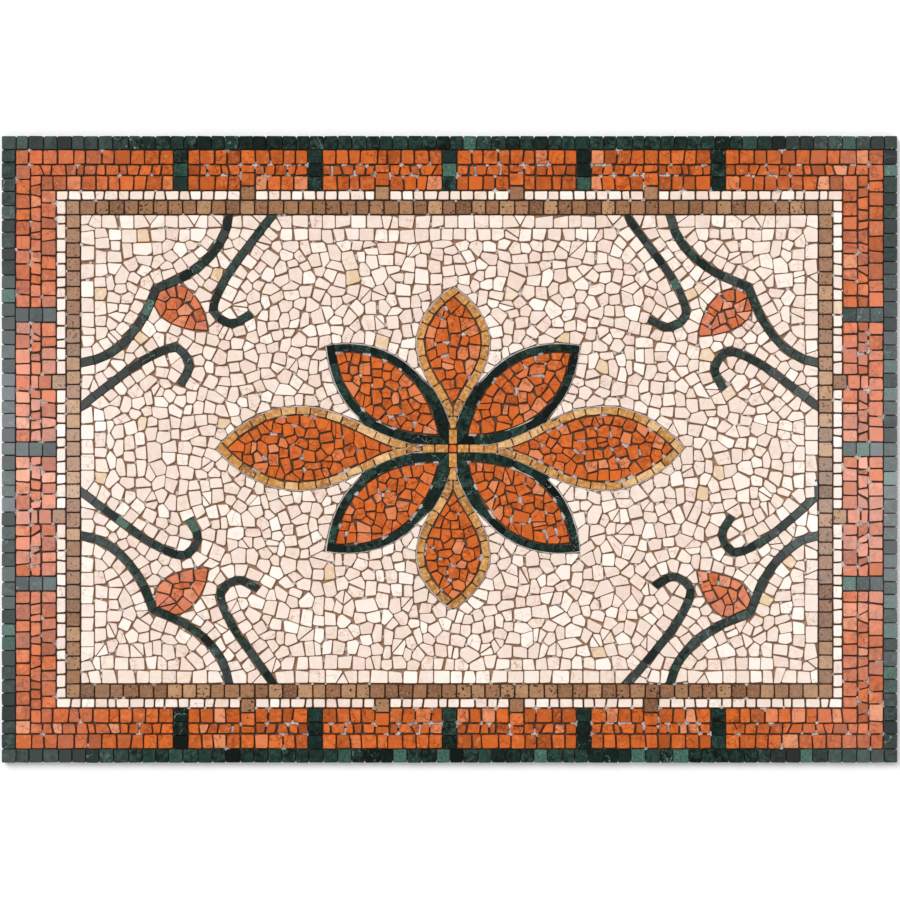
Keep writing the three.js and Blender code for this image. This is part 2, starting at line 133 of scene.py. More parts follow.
VINE_CURVE = ((0.771, 0), (0.738, 0.105), (0.655, 0.215), (0.53, 0.305), (0.374, 0.374))
TENDRIL_CURVE = (
    (1, 0), (0.87, 0.168), (0.76, 0.322), (0.694, 0.467),
    (0.715, 0.53), (0.79, 0.565), (0.876, 0.523),
)
BUD_UPPER_CURVE = ((0.643, 0.607), (0.636, 0.463), (0.505, 0.271), (0.374, 0.402))
BUD_LOWER_CURVE = ((0.374, 0.402), (0.322, 0.523), (0.453, 0.598), (0.643, 0.607))

# The net: how far apart its strands lie, and how wide and high they are. Glue and dust fill the
# joints to the bed's height, and glue stands in the wide joints nearly to the stones' tops.
NET_PITCH = 0.005
STRAND_WIDTH = 0.0011
STRAND_HEIGHT = 0.0004
STRAND_BEVEL = 0.00014
NET_SHORT = 0.0004
BED_TOP = 0.0062
BED_MARGIN = 0.003
PETAL_BEDS = {"gold": 0.0003, "other": 0.0002}
# The petals' dust is darkened to this share of the dust's colour: painted shade of their joints.
PETAL_DUST_SHADE = 0.38
GLUE_TOP = 0.0086
GLUE_HEIGHTS = (0.0068, 0.0082)
CORAL_GLUED_SHARE = 0.3
CORAL_GLUE_REACH = (0.0026, 0.0060)
FIELD_GLUED_SHARE = 0.22
FIELD_GLUE_REACH = (0.0019, 0.0032)
LUMP_CORNERS = 7
CLEAR_OF_MIDDLE = 0.03
GLUE_LINE_WIDTH = 0.0012
GLUE_LINE_FOOT = 0.0045
GLUE_LINE_UNEVEN = (-0.0009, 0.0003)

# The floor lies just clear of the net's strands.
FLOOR = -0.0001
FLOOR_REACH = 40

# The free forms are worked out on squares of one step, and their lines have points a little further
# apart. A form is painted in a window that reaches past its line by the margin.
STEP = 0.0005
LINE_STEP = 0.002
WINDOW_MARGIN = 0.012
MILLIMETRE = 0.001
FIELD_X = HALF_LENGTH - FIELD_DEPTH
FIELD_Y = HALF_WIDTH - FIELD_DEPTH

# The rows of the field along its border: depth of the middle, size of a stone, and how freely the
# stones settle, from nought to one.
FIELD_ROWS = ((0.0078, 0.0172, 0.0), (0.0222, 0.0148, 0.4))
# The least distance between seeds: in loose rows, in rows along the forms, in petals' rows, and
# scattered over the field, over petals and over buds.
LOOSE_ROW_GAP = 0.0118
CLOSE_ROW_GAP = 0.0105
PETAL_ROW_GAP = 0.0096
FIELD_GAP = 0.0107
PETAL_GAP = 0.0098
BUD_GAP = 0.0112
BUD_PITCH = 0.0140
# How often a place is tried for a scattered seed, in a petal, a bud, a corner field and the field.
PETAL_TRIES, BUD_TRIES, CORNER_TRIES, FIELD_TRIES = 900, 500, 1600, 26000
ROUNDS_OF_SETTLING = 8
# The share of scattered stones that lie any way, and how far the others turn from their neighbours.
FREE_SHARE = 0.14
TURNED = 0.22
# Cells in which seeds look for neighbours, and for the way that these lie.
NEAR_CELL = 0.02
WAY_CELL = 0.03


def linear(code):
    """The light values of a colour that is written as six hexadecimal digits"""
    parts = [int(code[i:i + 2], 16) / 255 for i in (0, 2, 4)]
    return tuple(c / 12.92 if c <= 0.04045 else ((c + 0.055) / 1.055) ** 2.4 for c in parts)


def length(name, description, default):
    """A size that a user may change"""
    return FloatProperty(
        name=name, description=description, default=default, min=0.0, precision=5, unit="LENGTH"
    )


def colour(name, description, code):
    """A colour that a user may change"""
    return FloatVectorProperty(
        name=name, description=description, default=linear(code), size=3, min=0, max=1, subtype="COLOR"
    )


class StoneSizes(bpy.types.PropertyGroup):
    """Sizes of the stones and of the joints between them"""

    field_pitch: length("Field stone", "Size of a stone of the ivory field with its joint", 0.0130)
    petal_pitch: length("Petal stone", "Size of a coral stone in a petal with its joint", 0.0134)
    gold_length: length("Gold stone", "Length of a stone of a petal's gold edging", 0.0182)
    green_length: length("Green stone", "Length of a stone of a petal's green edging", 0.0215)
    vine_length: length("Vine stone", "Length of a stone of a vine or tendril", 0.0172)
    joint: length("Joint", "Width of the joint between two stones", 0.0007)
    outline_joint: length("Outline joint", "Width of the glue line along a drawn form", 0.0013)
    tumbled_rim: length("Tumbled rim", "How far the worn rim of a tumbled stone reaches in", 0.00045)
    sawn_rim: length("Sawn rim", "How far the eased rim of a sawn stone reaches in", 0.0004)


class StoneColours(bpy.types.PropertyGroup):
    """Colours of the marbles, of the net and of the glue"""

    green_dark: colour("Green, dark", "The darkest green stones", "030605")
    green: colour("Green", "Most green stones", "0F201C")
    green_pale: colour("Green, pale", "The cloudiest green stones", "4C7364")
    coral_dark: colour("Coral, dark", "Dark red patches in the coral stones", "863610")
    coral: colour("Coral", "Most coral stones", "C25D22")
    coral_pale: colour("Coral, pale", "The palest coral stones", "DA9068")
    gold_dark: colour("Gold, dark", "The brownest gold stones", "86501C")
    gold: colour("Gold", "Most gold stones", "C08236")
    gold_pale: colour("Gold, pale", "The peach and cream stones in the gold", "E0B680")
    ivory_pink: colour("Ivory, pink", "The pinkest ivory stones", "E4CBBE")
    ivory: colour("Ivory", "Most ivory stones", "EBD8CB")
    ivory_pale: colour("Ivory, pale", "The palest ivory stones", "F6ECE3")
    ivory_tan: colour("Ivory, tan", "The few yellowish ivory stones", "DCBE98")
    travertine_dark: colour("Travertine, dark", "The darkest brown stones", "694329")
    travertine: colour("Travertine", "Most brown stones", "8C6041")
    travertine_pale: colour("Travertine, pale", "The palest brown stones", "AC835F")
    net: colour("Net", "The glass-fibre net", "D8D6D2")
    glue: colour("Glue", "The glue in the joints", "BDB4B4")
    dust: colour("Dust", "The brown dust deep in the joints", "A3826A")


class StageSettings(bpy.types.PropertyGroup):
    """The floor, the lights and the camera"""

    camera_height: length("Camera height", "Height of the camera above the stones", 3.2)
    view_width: length("View width", "Width of the picture at the stones' tops", 1.0044)
    floor: colour("Floor", "Colour of the floor", "F7F7F7")
    sky: FloatProperty(
        name="Sky", description="Strength of the even light from all round", default=0.72, min=0
    )
    lamp: FloatProperty(name="Lamp", description="Strength of the soft lamp", default=1.9, min=0)
    lamp_spread: FloatProperty(
        name="Lamp spread", description="How wide the soft lamp looks from the panel",
        default=math.radians(35), min=0, max=math.pi, subtype="ANGLE",
    )


# Lines and outlines on the plan.
def bezier(points, count=48):
    """Points along a curve that is drawn by two ends and two handles"""
    t = np.linspace(0, 1, count)[:, None]
    a, b, c, d = (np.array(p, float) for p in points)
    return (1 - t) ** 3 * a + 3 * (1 - t) ** 2 * t * b + 3 * (1 - t) * t**2 * c + t**3 * d


def smooth_line(points, count=16):
    """Points along a smooth line through the given ones"""
    p = np.array(points, float)
    last = len(p) - 1
    parts = []
    for i in range(last):
        before, start, end, after = (p[min(max(k, 0), last)] for k in (i - 1, i, i + 1, i + 2))
        t = np.linspace(0, 1, count, endpoint=False)[:, None]
        v0, v1 = (end - before) / 2, (after - start) / 2
        parts.append(
            (2 * start - 2 * end + v0 + v1) * t**3
            + (-3 * start + 3 * end - 2 * v0 - v1) * t**2
            + v0 * t
            + start
        )
    return np.vstack([*parts, p[-1:]])


def measured(line):
    """How far along a line each of its points lies"""
    return np.concatenate([[0], np.cumsum(np.hypot(*np.diff(line, axis=0).T))])


def respaced(line, step):
    """The same line with its points about one step apart"""
    along = measured(line)
    places = np.linspace(0, along[-1], max(2, round(along[-1] / step) + 1))
    return np.column_stack([np.interp(places, along, line[:, k]) for k in (0, 1)])


def directions(line):
    """The unit direction of a line at each of its points"""
    step = np.gradient(line, axis=0)
    return step / np.maximum(np.hypot(step[:, 0], step[:, 1]), 1e-12)[:, None]


def beside(line, distance):
    """The line moved to its left by a distance"""
    d = directions(line)
    return line + distance * np.column_stack([-d[:, 1], d[:, 0]])


def signed_area(outline):
    """The area inside an outline, above zero where it turns left"""
    x, y = np.array(outline).T
    return 0.5 * float(np.sum(x * np.roll(y, -1) - y * np.roll(x, -1)))


def petal_on_axis(name):
    """The two edges of a petal on an axis of the flower, each from its tip to the middle"""
    turn, reach, half_width = AXIS_PETALS[name]
    half = PETAL_EDGING / 2
    outer, inner = (
        [(x * reach, half + y * (half_width - half)) for x, y in curve]
        for curve in (PETAL_OUTER_CURVE, PETAL_INNER_CURVE)
    )
    outer[0] = (reach, 0)
    left = respaced(np.vstack([bezier(outer), bezier(inner)[1:], [(0, half)]]), LINE_STEP)
    cos, sin = ((1, 0), (0, 1), (-1, 0), (0, -1))[turn]
    turned = np.array([[cos, sin], [-sin, cos]])
    right = left * (1, -1)
    return [edge @ turned + FLOWER for edge in (left, right)]


def petal_between(name):
    """The two edges of a petal between two others, each from its tip to the middle"""
    x, y = CORNERS[name][:2]
    edges = []
    for curve in (CORNER_PETAL_UPPER, CORNER_PETAL_LOWER):
        drawn = bezier(np.array(curve) * CORNER_PETAL_REACH)
        edges.append(respaced(drawn, LINE_STEP) * (x, y) + FLOWER)
    return edges if x * y > 0 else edges[::-1]


def scroll(name):
    """The vine, the bud and the two tendrils of a corner of the field"""
    x, y, *strays = CORNERS[name]
    vine_stray, bud_stray, upper_stray, side_stray = (np.array(stray) * MILLIMETRE for stray in strays)
    half = respaced(smooth_line(np.array(VINE_CURVE) * SCROLL_REACH), LINE_STEP)
    vine = np.vstack([half, half[-2::-1, ::-1]])
    vine = vine + np.sin(np.pi * np.linspace(0, 1, len(vine))[:, None]) * vine_stray
    tendril = respaced(smooth_line(np.array(TENDRIL_CURVE) * SCROLL_REACH), LINE_STEP)
    t = np.sqrt(np.linspace(0, 1, len(tendril)))[:, None]
    curves = (BUD_UPPER_CURVE, BUD_LOWER_CURVE)
    bud = np.vstack([bezier(np.array(curve) * SCROLL_REACH)[:-1] for curve in curves])
    parts = {
        "vine": vine,
        "bud": bud + bud_stray,
        "upper": tendril + t * upper_stray,
        "side": tendril[:, ::-1] + t * side_stray,
    }
    return {part: (np.array((FIELD_X, FIELD_Y)) - line) * (x, y) for part, line in parts.items()}


# The drawing: which form each small square of the field belongs to.
def inside(outline, x, y):
    """Whether each place lies inside an outline"""
    within = np.zeros(np.broadcast(x, y).shape, bool)
    for (x0, y0), (x1, y1) in zip(outline, np.roll(outline, -1, axis=0)):
        if y0 == y1:
            continue
        crossing = x0 + (y - y0) * (x1 - x0) / (y1 - y0)
        within ^= ((y0 <= y) != (y1 <= y)) & (x < crossing)
    return within


def distance_to(line, x, y):
    """How far each place is from a line, and how far along the line its nearest point lies"""
    nearest = np.full(np.broadcast(x, y).shape, np.inf)
    along = np.zeros(nearest.shape)
    run = measured(line)
    for (x0, y0), (x1, y1), start, end in zip(line[:-1], line[1:], run[:-1], run[1:]):
        dx, dy, size = x1 - x0, y1 - y0, end - start
        if size < 1e-9:
            continue
        t = np.clip(((x - x0) * dx + (y - y0) * dy) / (size * size), 0, 1)
        away = np.hypot(x - x0 - t * dx, y - y0 - t * dy)
        closer = away < nearest
        nearest = np.where(closer, away, nearest)
        along = np.where(closer, start + t * size, along)
    return nearest, along


class Drawing:
    """The full-size drawing of the field, with the forms painted over each other"""

    def __init__(self):
        self.columns = round(2 * FIELD_X / STEP)
        self.rows = round(2 * FIELD_Y / STEP)
        self.x = -FIELD_X + (np.arange(self.columns) + 0.5) * STEP
        self.y = -FIELD_Y + (np.arange(self.rows) + 0.5) * STEP
        self.names = ["ivory_field"]
        self.form = np.zeros((self.rows, self.columns), np.int16)

    def window(self, low, high):
        """The part of the drawing between two corners"""
        ends = (np.array([low, high]) + (FIELD_X, FIELD_Y)) / STEP
        ends = np.clip(ends.astype(int), 0, (self.columns, self.rows))
        return slice(*ends[:, 1]), slice(*ends[:, 0])

    def paint(self, name, line, covers):
        """Paints a form where a rule on places near its line says so"""
        rows, columns = self.window(line.min(axis=0) - WINDOW_MARGIN, line.max(axis=0) + WINDOW_MARGIN)
        if name not in self.names:
            self.names.append(name)
        where = covers(self.x[None, columns], self.y[rows, None])
        self.form[rows, columns][where] = self.names.index(name)

    def form_at(self, place):
        """The form at a place, or -1 outside the field"""
        column = int((place[0] + FIELD_X) / STEP)
        row = int((place[1] + FIELD_Y) / STEP)
        if 0 <= row < self.rows and 0 <= column < self.columns:
            return int(self.form[row, column])
        return -1


def draw_forms():
    """Draws the scrolls and the flower on the field, and gives their lines back by name"""
    drawing = Drawing()
    lines = {}
    for corner, (x, y, *_) in CORNERS.items():
        parts = scroll(corner)
        vine = parts["vine"]
        beyond = np.vstack([vine, [(x * FIELD_X * 1.1, y * FIELD_Y * 1.1)]])
        drawing.paint(f"ivory_field_{corner}", beyond, lambda u, v: inside(beyond, u, v))
        for which in ("upper", "side"):
            line = parts[which]
            name = f"tendril_{corner}_{which}"
            drawing.paint(name, line, lambda u, v: distance_to(line, u, v)[0] < TENDRIL_WIDTH / 2)
            lines[name] = line
        bud = parts["bud"]
        drawing.paint(f"bud_{corner}", bud, lambda u, v: inside(bud, u, v))
        lines[f"bud_{corner}"] = bud if signed_area(bud) > 0 else bud[::-1]
        drawing.paint(f"vine_{corner}", vine, lambda u, v: distance_to(vine, u, v)[0] < VINE_WIDTH / 2)
        lines[f"vine_{corner}"] = vine
    petals = {name: ("green", petal_between(name)) for name in CORNERS}
    petals.update({name: ("gold", petal_on_axis(name)) for name in AXIS_PETALS})
    for name, (stone, (left, right)) in petals.items():
        if stone == "green":
            outline = np.vstack([left, right[-2:0:-1]])
            edge = np.vstack([outline, outline[:1]])
        else:
            outline = np.vstack([left, right[-1:0:-1]])
            edge = np.vstack([left[::-1], right[1:]])
        drawing.paint(f"{stone}_edging_{name}", outline, lambda u, v: inside(outline, u, v))
        drawing.paint(
            f"coral_petal_{name}",
            outline,
            lambda u, v: inside(outline, u, v) & (distance_to(edge, u, v)[0] > PETAL_EDGING),
        )
        lines[f"{stone}_edging_{name}"] = (left, right)
    close_wedges(drawing, lines)
    middle = np.array(FLOWER) + np.array([(-1, -1), (1, -1), (1, 1), (-1, 1)]) * PETAL_EDGING / 2
    drawing.paint("centre_stone", middle, lambda u, v: inside(middle, u, v))
    lines["centre_stone"] = middle
    return drawing, lines


def close_wedges(drawing, lines):
    """Gives the slivers of field between gold and green edgings to the green one"""
    for corner, (side_x, side_y, *_) in CORNERS.items():
        left, right = lines[f"green_edging_{corner}"]
        green = np.vstack([left, right[::-1]])
        rows, columns = drawing.window(green.min(axis=0) - 0.01, green.max(axis=0) + 0.01)
        x, y = drawing.x[None, columns], drawing.y[rows, None]
        to_green = distance_to(green[::2], x, y)[0]
        to_gold = np.full(to_green.shape, np.inf)
        for name in AXIS_PETALS:
            for edge in lines[f"gold_edging_{name}"]:
                to_gold = np.minimum(to_gold, distance_to(edge[::2], x, y)[0])
        own_x, own_y = (x - FLOWER[0]) * side_x, (y - FLOWER[1]) * side_y
        near_middle = (own_x > 0) & (own_y > 0) & (np.hypot(own_x, own_y) < MIDDLE_REACH)
        wedge = ((to_green + to_gold < WEDGE) | near_middle) & (drawing.form[rows, columns] == 0)
        drawing.form[rows, columns][wedge] = drawing.names.index(f"green_edging_{corner}")


# The stones of the free forms grow round seeds, each with a place, a direction and a size.
class Seeds:
    """Where the stones of the free forms are to lie"""

    def __init__(self, drawing):
        self.drawing = drawing
        self.rows = []
        self.near = {}

    def clear_of_others(self, form, place, gap):
        """Whether no other stone of the same form is nearer than the gap"""
        i, j = int(place[0] / NEAR_CELL), int(place[1] / NEAR_CELL)
        for di in (-1, 0, 1):
            for dj in (-1, 0, 1):
                for x, y, other in self.near.get((i + di, j + dj), ()):
                    if other == form and math.hypot(x - place[0], y - place[1]) < gap:
                        return False
        return True

    def add(self, form, place, angle, half_length, half_width, ease, gap=0.0):
        """Adds a seed where its own form is drawn and no other is too near"""
        if self.drawing.form_at(place) != form or not self.clear_of_others(form, place, gap):
            return
        self.rows.append((place[0], place[1], angle, half_length, half_width, ease, form))
        cell = (int(place[0] / NEAR_CELL), int(place[1] / NEAR_CELL))
        self.near.setdefault(cell, []).append((*place, form))


def seed_row(seeds, form, line, pitch, rng, ease, gap, uneven, half_width, start=0.5):
    """A row of seeds along a line"""
    along = measured(line)
    place = pitch * start
    facing = directions(line)
    while place < along[-1]:
        size = pitch * rng.uniform(1 - uneven, 1 + uneven)
        at = [np.interp(place, along, line[:, k]) for k in (0, 1)]
        way = [np.interp(place, along, facing[:, k]) for k in (0, 1)]
        angle = math.atan2(way[1], way[0])
        seeds.add(form, at, angle, size / 2, half_width, ease, gap)
        place += size


def cuts_along(start, end, pitch, rng):
    """Places where a band of stones is cut between its two ends, near one pitch apart"""
    count = max(1, round((end - start) / pitch))
    shares = (np.arange(1, count) + rng.uniform(-0.12, 0.12, count - 1)) / count
    return start + (end - start) * shares


def cuts_in_bends(line, pitch, rng):
    """Places where a band of stones is cut along a line, nearer together where it bends"""
    along, facing = measured(line), directions(line)
    turns = np.arccos(np.clip(np.sum(facing[1:] * facing[:-1], axis=1), -1, 1))
    longer = along + BEND_LENGTH * np.concatenate([[0], np.cumsum(turns)])
    return np.interp(cuts_along(0, longer[-1], pitch, rng), longer, along)


def band_owners(drawing, lines, sizes, rng):
    """Which stone of its band each small square goes to, numbered from nought, or -1 elsewhere"""
    owner = np.full(drawing.form.shape, -1, np.int32)
    forms = []

    def hand_out(name, line, rule):
        form = drawing.names.index(name)
        low, high = line.min(axis=0) - WINDOW_MARGIN, line.max(axis=0) + WINDOW_MARGIN
        rows, columns = drawing.window(low, high)
        here = drawing.form[rows, columns] == form
        stone = rule(drawing.x[None, columns], drawing.y[rows, None])
        used, numbers = np.unique(stone[here], return_inverse=True)
        owner[rows, columns][here] = numbers.ravel() + len(forms)
        forms.extend([form] * len(used))

    for name, line in lines.items():
        if name.startswith(("vine", "tendril")):
            cuts = cuts_in_bends(line, sizes.vine_length, rng)
            hand_out(name, line, lambda x, y: np.searchsorted(cuts, distance_to(line[::2], x, y)[1]))
        elif "edging" in name:
            left, right = line
            pitch = sizes.gold_length if name.startswith("gold") else sizes.green_length
            axis = np.array(FLOWER) - left[0]
            size = np.hypot(*axis)
            axis = axis / size
            run = measured(left)
            width = np.abs((left - left[0]) @ np.array([-axis[1], axis[0]]))
            narrow = (run > run[-1] / 2) & (width < STEM_HALF_WIDTH)
            stem_from, last = 2 * size, run[-1]
            if name.startswith("gold"):
                stem_from, last = ((left - left[0]) @ axis)[narrow][0], run[narrow][0]
            stem_cuts = cuts_along(stem_from, size - PETAL_EDGING / 2, pitch * 0.92, rng)
            cuts = [cuts_along(start, last, pitch, rng) for start in (0, PETAL_EDGING)]

            def rule(x, y):
                deep = (x - left[0][0]) * axis[0] + (y - left[0][1]) * axis[1]
                to_left, on_left = distance_to(left[::2], x, y)
                to_right, on_right = distance_to(right[::2], x, y)
                at_tip = deep < size * 0.3
                to_the_left = np.where(at_tip, to_left <= PETAL_EDGING, to_left < to_right)
                stone = np.where(
                    to_the_left, np.searchsorted(cuts[0], on_left), 100 + np.searchsorted(cuts[1], on_right)
                )
                return np.where(deep > stem_from, 200 + np.searchsorted(stem_cuts, deep), stone)

            hand_out(name, np.vstack([left, right]), rule)
    return owner, np.array(forms)


def scatter(seeds, form, low, high, gap, pitch, rng, tries):
    """Seeds thrown over a form wherever there is room"""
    ways = {}
    for x, y, angle, *_, other in seeds.rows:
        if other == form:
            ways.setdefault((int(x / WAY_CELL), int(y / WAY_CELL)), []).append(angle)
    for place in rng.uniform(low, high, (tries, 2)):
        near = ways.get((int(place[0] / WAY_CELL), int(place[1] / WAY_CELL)), [0.0])
        angle = near[rng.integers(len(near))] + rng.normal(0, TURNED)
        if rng.random() < FREE_SHARE:
            angle = rng.uniform(0, math.pi)
        shape = math.exp(rng.normal(0, 0.13))
        size = pitch / 2 * math.exp(rng.normal(0, 0.12))
        seeds.add(form, tuple(place), angle, size * shape, size / shape, 1.0, gap)


def lines_beside(lines, distance):
    """The lines that run at a distance beside every form on the field"""
    found = []
    for name, line in lines.items():
        if name.startswith(("vine", "tendril")):
            reach = VINE_WIDTH / 2 + distance
            found += [beside(line, reach), beside(line, -reach)]
            if name.startswith("tendril"):
                found.append(np.array([line[-1], line[-1] + directions(line)[-1] * reach]))
        elif name.startswith("bud"):
            found.append(beside(line, -distance))
        elif "edging" in name:
            found += [beside(line[0], distance), beside(line[1], -distance)]
    return found


def sow_field_rows(seeds, fields, lines, sizes, rng):
    """Rows of field stones along the border and along both sides of every form"""
    pitch = sizes.field_pitch
    half = pitch / 2
    for depth, row_pitch, ease in FIELD_ROWS:
        for sign in (-1, 1):
            for ends in (((-1, sign), (1, sign)), ((sign, -1), (sign, 1))):
                line = respaced(np.array(ends) * (FIELD_X - depth, FIELD_Y - depth), LINE_STEP)
                for form in fields:
                    seed_row(seeds, form, line, row_pitch, rng, ease, LOOSE_ROW_GAP, 0.2, half, 0.42)
        # The forms' own rows come before the border's second one.
        if depth == FIELD_ROWS[0][0]:
            for line in lines_beside(lines, half):
                for form in fields:
                    seed_row(seeds, form, line, pitch * 1.04, rng, 0.25, CLOSE_ROW_GAP, 0.14, half)
    for name, line in lines.items():
        if "edging" in name:
            reach = half + pitch
            for outer in (beside(line[0], reach), beside(line[1], -reach)):
                seed_row(seeds, fields[0], outer, pitch, rng, 0.6, LOOSE_ROW_GAP, 0.16, half)


def sow_petals(seeds, lines, sizes, rng):
    """Coral stones along the edging of each petal, with others inside them, and in the buds"""
    number = seeds.drawing.names.index
    pitch = sizes.petal_pitch
    for name in (*CORNERS, *AXIS_PETALS):
        form = number(f"coral_petal_{name}")
        left, right = lines[f"green_edging_{name}" if name in CORNERS else f"gold_edging_{name}"]
        reach = PETAL_EDGING + pitch / 2
        for edge in (beside(left, -reach), beside(right, reach)):
            seed_row(seeds, form, edge, pitch * 1.02, rng, 0.08, PETAL_ROW_GAP, 0.12, pitch / 2)
        both = np.vstack([left, right])
        low, high = both.min(axis=0), both.max(axis=0)
        scatter(seeds, form, low, high, PETAL_GAP, pitch * 0.9, rng, PETAL_TRIES)
    for corner in CORNERS:
        bud = lines[f"bud_{corner}"]
        low, high = bud.min(axis=0), bud.max(axis=0)
        scatter(seeds, number(f"bud_{corner}"), low, high, BUD_GAP, BUD_PITCH, rng, BUD_TRIES)


def sow(drawing, lines, sizes, rng):
    """Seeds for every stone inside the border"""
    seeds = Seeds(drawing)
    number = drawing.names.index
    fields = [number("ivory_field")] + [number(f"ivory_field_{corner}") for corner in CORNERS]
    seeds.add(number("centre_stone"), FLOWER, 0.0, 0.005, 0.005, 0.0)
    sow_field_rows(seeds, fields, lines, sizes, rng)
    sow_petals(seeds, lines, sizes, rng)
    for form in fields[1:]:
        rows, columns = np.nonzero(drawing.form == form)
        low = (drawing.x[columns.min()], drawing.y[rows.min()])
        high = (drawing.x[columns.max()], drawing.y[rows.max()])
        scatter(seeds, form, low, high, FIELD_GAP, sizes.field_pitch, rng, CORNER_TRIES)
    low, high = (-FIELD_X, -FIELD_Y), (FIELD_X, FIELD_Y)
    scatter(seeds, fields[0], low, high, FIELD_GAP, sizes.field_pitch, rng, FIELD_TRIES)
    return np.array(seeds.rows)


def shared_out(drawing, seeds):
    """Which seed each small square of the drawing goes to"""
    owner = np.full(drawing.form.shape, -1, np.int32)
    nearest = np.full(drawing.form.shape, np.inf, np.float32)
    reach = 0.015
    for k, (x, y, angle, half_length, half_width, _, form) in enumerate(seeds):
        rows, columns = drawing.window((x - reach, y - reach), (x + reach, y + reach))
        u = drawing.x[None, columns] - x
        v = drawing.y[rows, None] - y
        cos, sin = math.cos(angle), math.sin(angle)
        across, up = np.abs(u * cos + v * sin), np.abs(v * cos - u * sin)
        away = np.maximum(across / half_length, up / half_width)
        closer = (away < nearest[rows, columns]) & (drawing.form[rows, columns] == form)
        nearest[rows, columns][closer] = away[closer]
        owner[rows, columns][closer] = k
    return owner


def settled(drawing, seeds, rounds):
    """The seeds moved towards the middles of their stones, and the last sharing out"""
    for _ in range(rounds):
        owner = shared_out(drawing, seeds)
        rows, columns = np.nonzero(owner >= 0)
        own = owner[rows, columns]
        count = np.bincount(own, minlength=len(seeds))
        middle_x = np.bincount(own, drawing.x[columns], len(seeds)) / np.maximum(count, 1)
        middle_y = np.bincount(own, drawing.y[rows], len(seeds)) / np.maximum(count, 1)
        ease = np.where(count > 0, seeds[:, 5], 0)
        seeds[:, 0] += ease * (middle_x - seeds[:, 0])
        seeds[:, 1] += ease * (middle_y - seeds[:, 1])
    return shared_out(drawing, seeds)


def joint_lines(drawing, owner):
    """A straight joint for each pair of neighbouring stones: a place and a direction across it"""
    pairs, places = [], []
    for ahead, here, offset in (
        (owner[:, 1:], owner[:, :-1], (0.5, 0.0)),
        (owner[1:, :], owner[:-1, :], (0.0, 0.5)),
    ):
        rows, columns = np.nonzero((ahead != here) & (ahead >= 0) & (here >= 0))
        a, b = here[rows, columns], ahead[rows, columns]
        pairs.append(np.column_stack([np.minimum(a, b), np.maximum(a, b)]))
        x = drawing.x[columns] + offset[0] * STEP
        y = drawing.y[rows] + offset[1] * STEP
        places.append(np.column_stack([x, y]))
    pairs, places = np.vstack(pairs), np.vstack(places)
    keys, index = np.unique(pairs, axis=0, return_inverse=True)
    index = index.ravel()
    count = np.bincount(index).astype(float)
    mean = np.column_stack([np.bincount(index, places[:, k]) / count for k in (0, 1)])
    off = places - mean[index]
    xx, yy = (np.bincount(index, off[:, k] ** 2) for k in (0, 1))
    xy = np.bincount(index, off[:, 0] * off[:, 1])
    angle = 0.5 * np.arctan2(2 * xy, xx - yy)
    return keys, mean, np.column_stack([-np.sin(angle), np.cos(angle)]), count


def cut_back(outline, place, normal):
    """What is left of an outline on the near side of a line"""
    side = (outline - place) @ normal
    kept = []
    for k in range(len(outline)):
        a, b = side[k - 1], side[k]
        if (a <= 0) != (b <= 0):
            kept.append(outline[k - 1] + (outline[k] - outline[k - 1]) * a / (a - b))
        if b <= 0:
            kept.append(outline[k])
    return np.array(kept) if len(kept) > 2 else None


def without_short_sides(outline, shortest):
    """The outline with corners that lie close together made one"""
    kept = list(outline)
    while len(kept) > 3:
        gaps = [np.hypot(*(kept[k] - kept[k - 1])) for k in range(len(kept))]
        k = int(np.argmin(gaps))
        if gaps[k] >= shortest:
            break
        kept[k - 1] = (kept[k] + kept[k - 1]) / 2
        kept.pop(k)
    return np.array(kept)


def dressed(outline, shortest, least_kept):
    """The outline of a stone that is cut to few sides: the shortest go while it has more than four"""
    whole = signed_area(outline)
    outline = without_short_sides(outline, SHORTEST_SIDE)
    while len(outline) > 4:
        gaps = np.hypot(*(outline - np.roll(outline, 1, axis=0)).T)
        k = int(np.argmin(gaps))
        fewer = outline.copy()
        fewer[k - 1] = (outline[k] + outline[k - 1]) / 2
        fewer = np.delete(fewer, k, axis=0)
        if gaps[k] > shortest or signed_area(fewer) < least_kept * whole:
            break
        outline = fewer
    return outline


def squared(outline, most, rng):
    """The outline trimmed along the sides of the smallest rectangle that holds it"""
    best = None
    for k in range(len(outline)):
        way = outline[k] - outline[k - 1]
        size = np.hypot(*way)
        if size < 1e-6:
            continue
        way = way / size
        across = np.array([-way[1], way[0]])
        u, v = outline @ way, outline @ across
        area = (u.max() - u.min()) * (v.max() - v.min())
        if best is None or area < best[0]:
            best = (area, way, across, u, v)
    _, way, across, u, v = best
    for axis, places in ((way, u), (across, v)):
        size = places.max() - places.min()
        for sign, end in ((1, places.max()), (-1, places.min())):
            at = end - sign * size * rng.uniform(0, most)
            trimmed = cut_back(outline, axis * at, axis * sign)
            outline = outline if trimmed is None else trimmed
    return outline


def narrowest(outline):
    """The smallest width of an outline, between any side and the corner furthest from it"""
    widths = []
    for k in range(len(outline)):
        side = outline[k] - outline[k - 1]
        size = np.hypot(*side)
        if size > 1e-9:
            across = np.array([-side[1], side[0]])
            widths.append(np.max(np.abs((outline - outline[k]) @ across / size)))
    return min(widths)


def worn(outline, radius, rng, steps=2):
    """The outline with each corner rounded by its own share of a radius"""
    points = []
    for k in range(len(outline)):
        corner = outline[k]
        before, after = outline[k - 1] - corner, outline[(k + 1) % len(outline)] - corner
        size_before, size_after = np.hypot(*before), np.hypot(*after)
        back = min(radius * rng.uniform(0.55, 1.35), 0.42 * size_before, 0.42 * size_after)
        start, end = corner + before / size_before * back, corner + after / size_after * back
        for t in np.linspace(0, 1, steps):
            points.append((1 - t) ** 2 * start + 2 * t * (1 - t) * corner + t * t * end)
    return np.array(points)


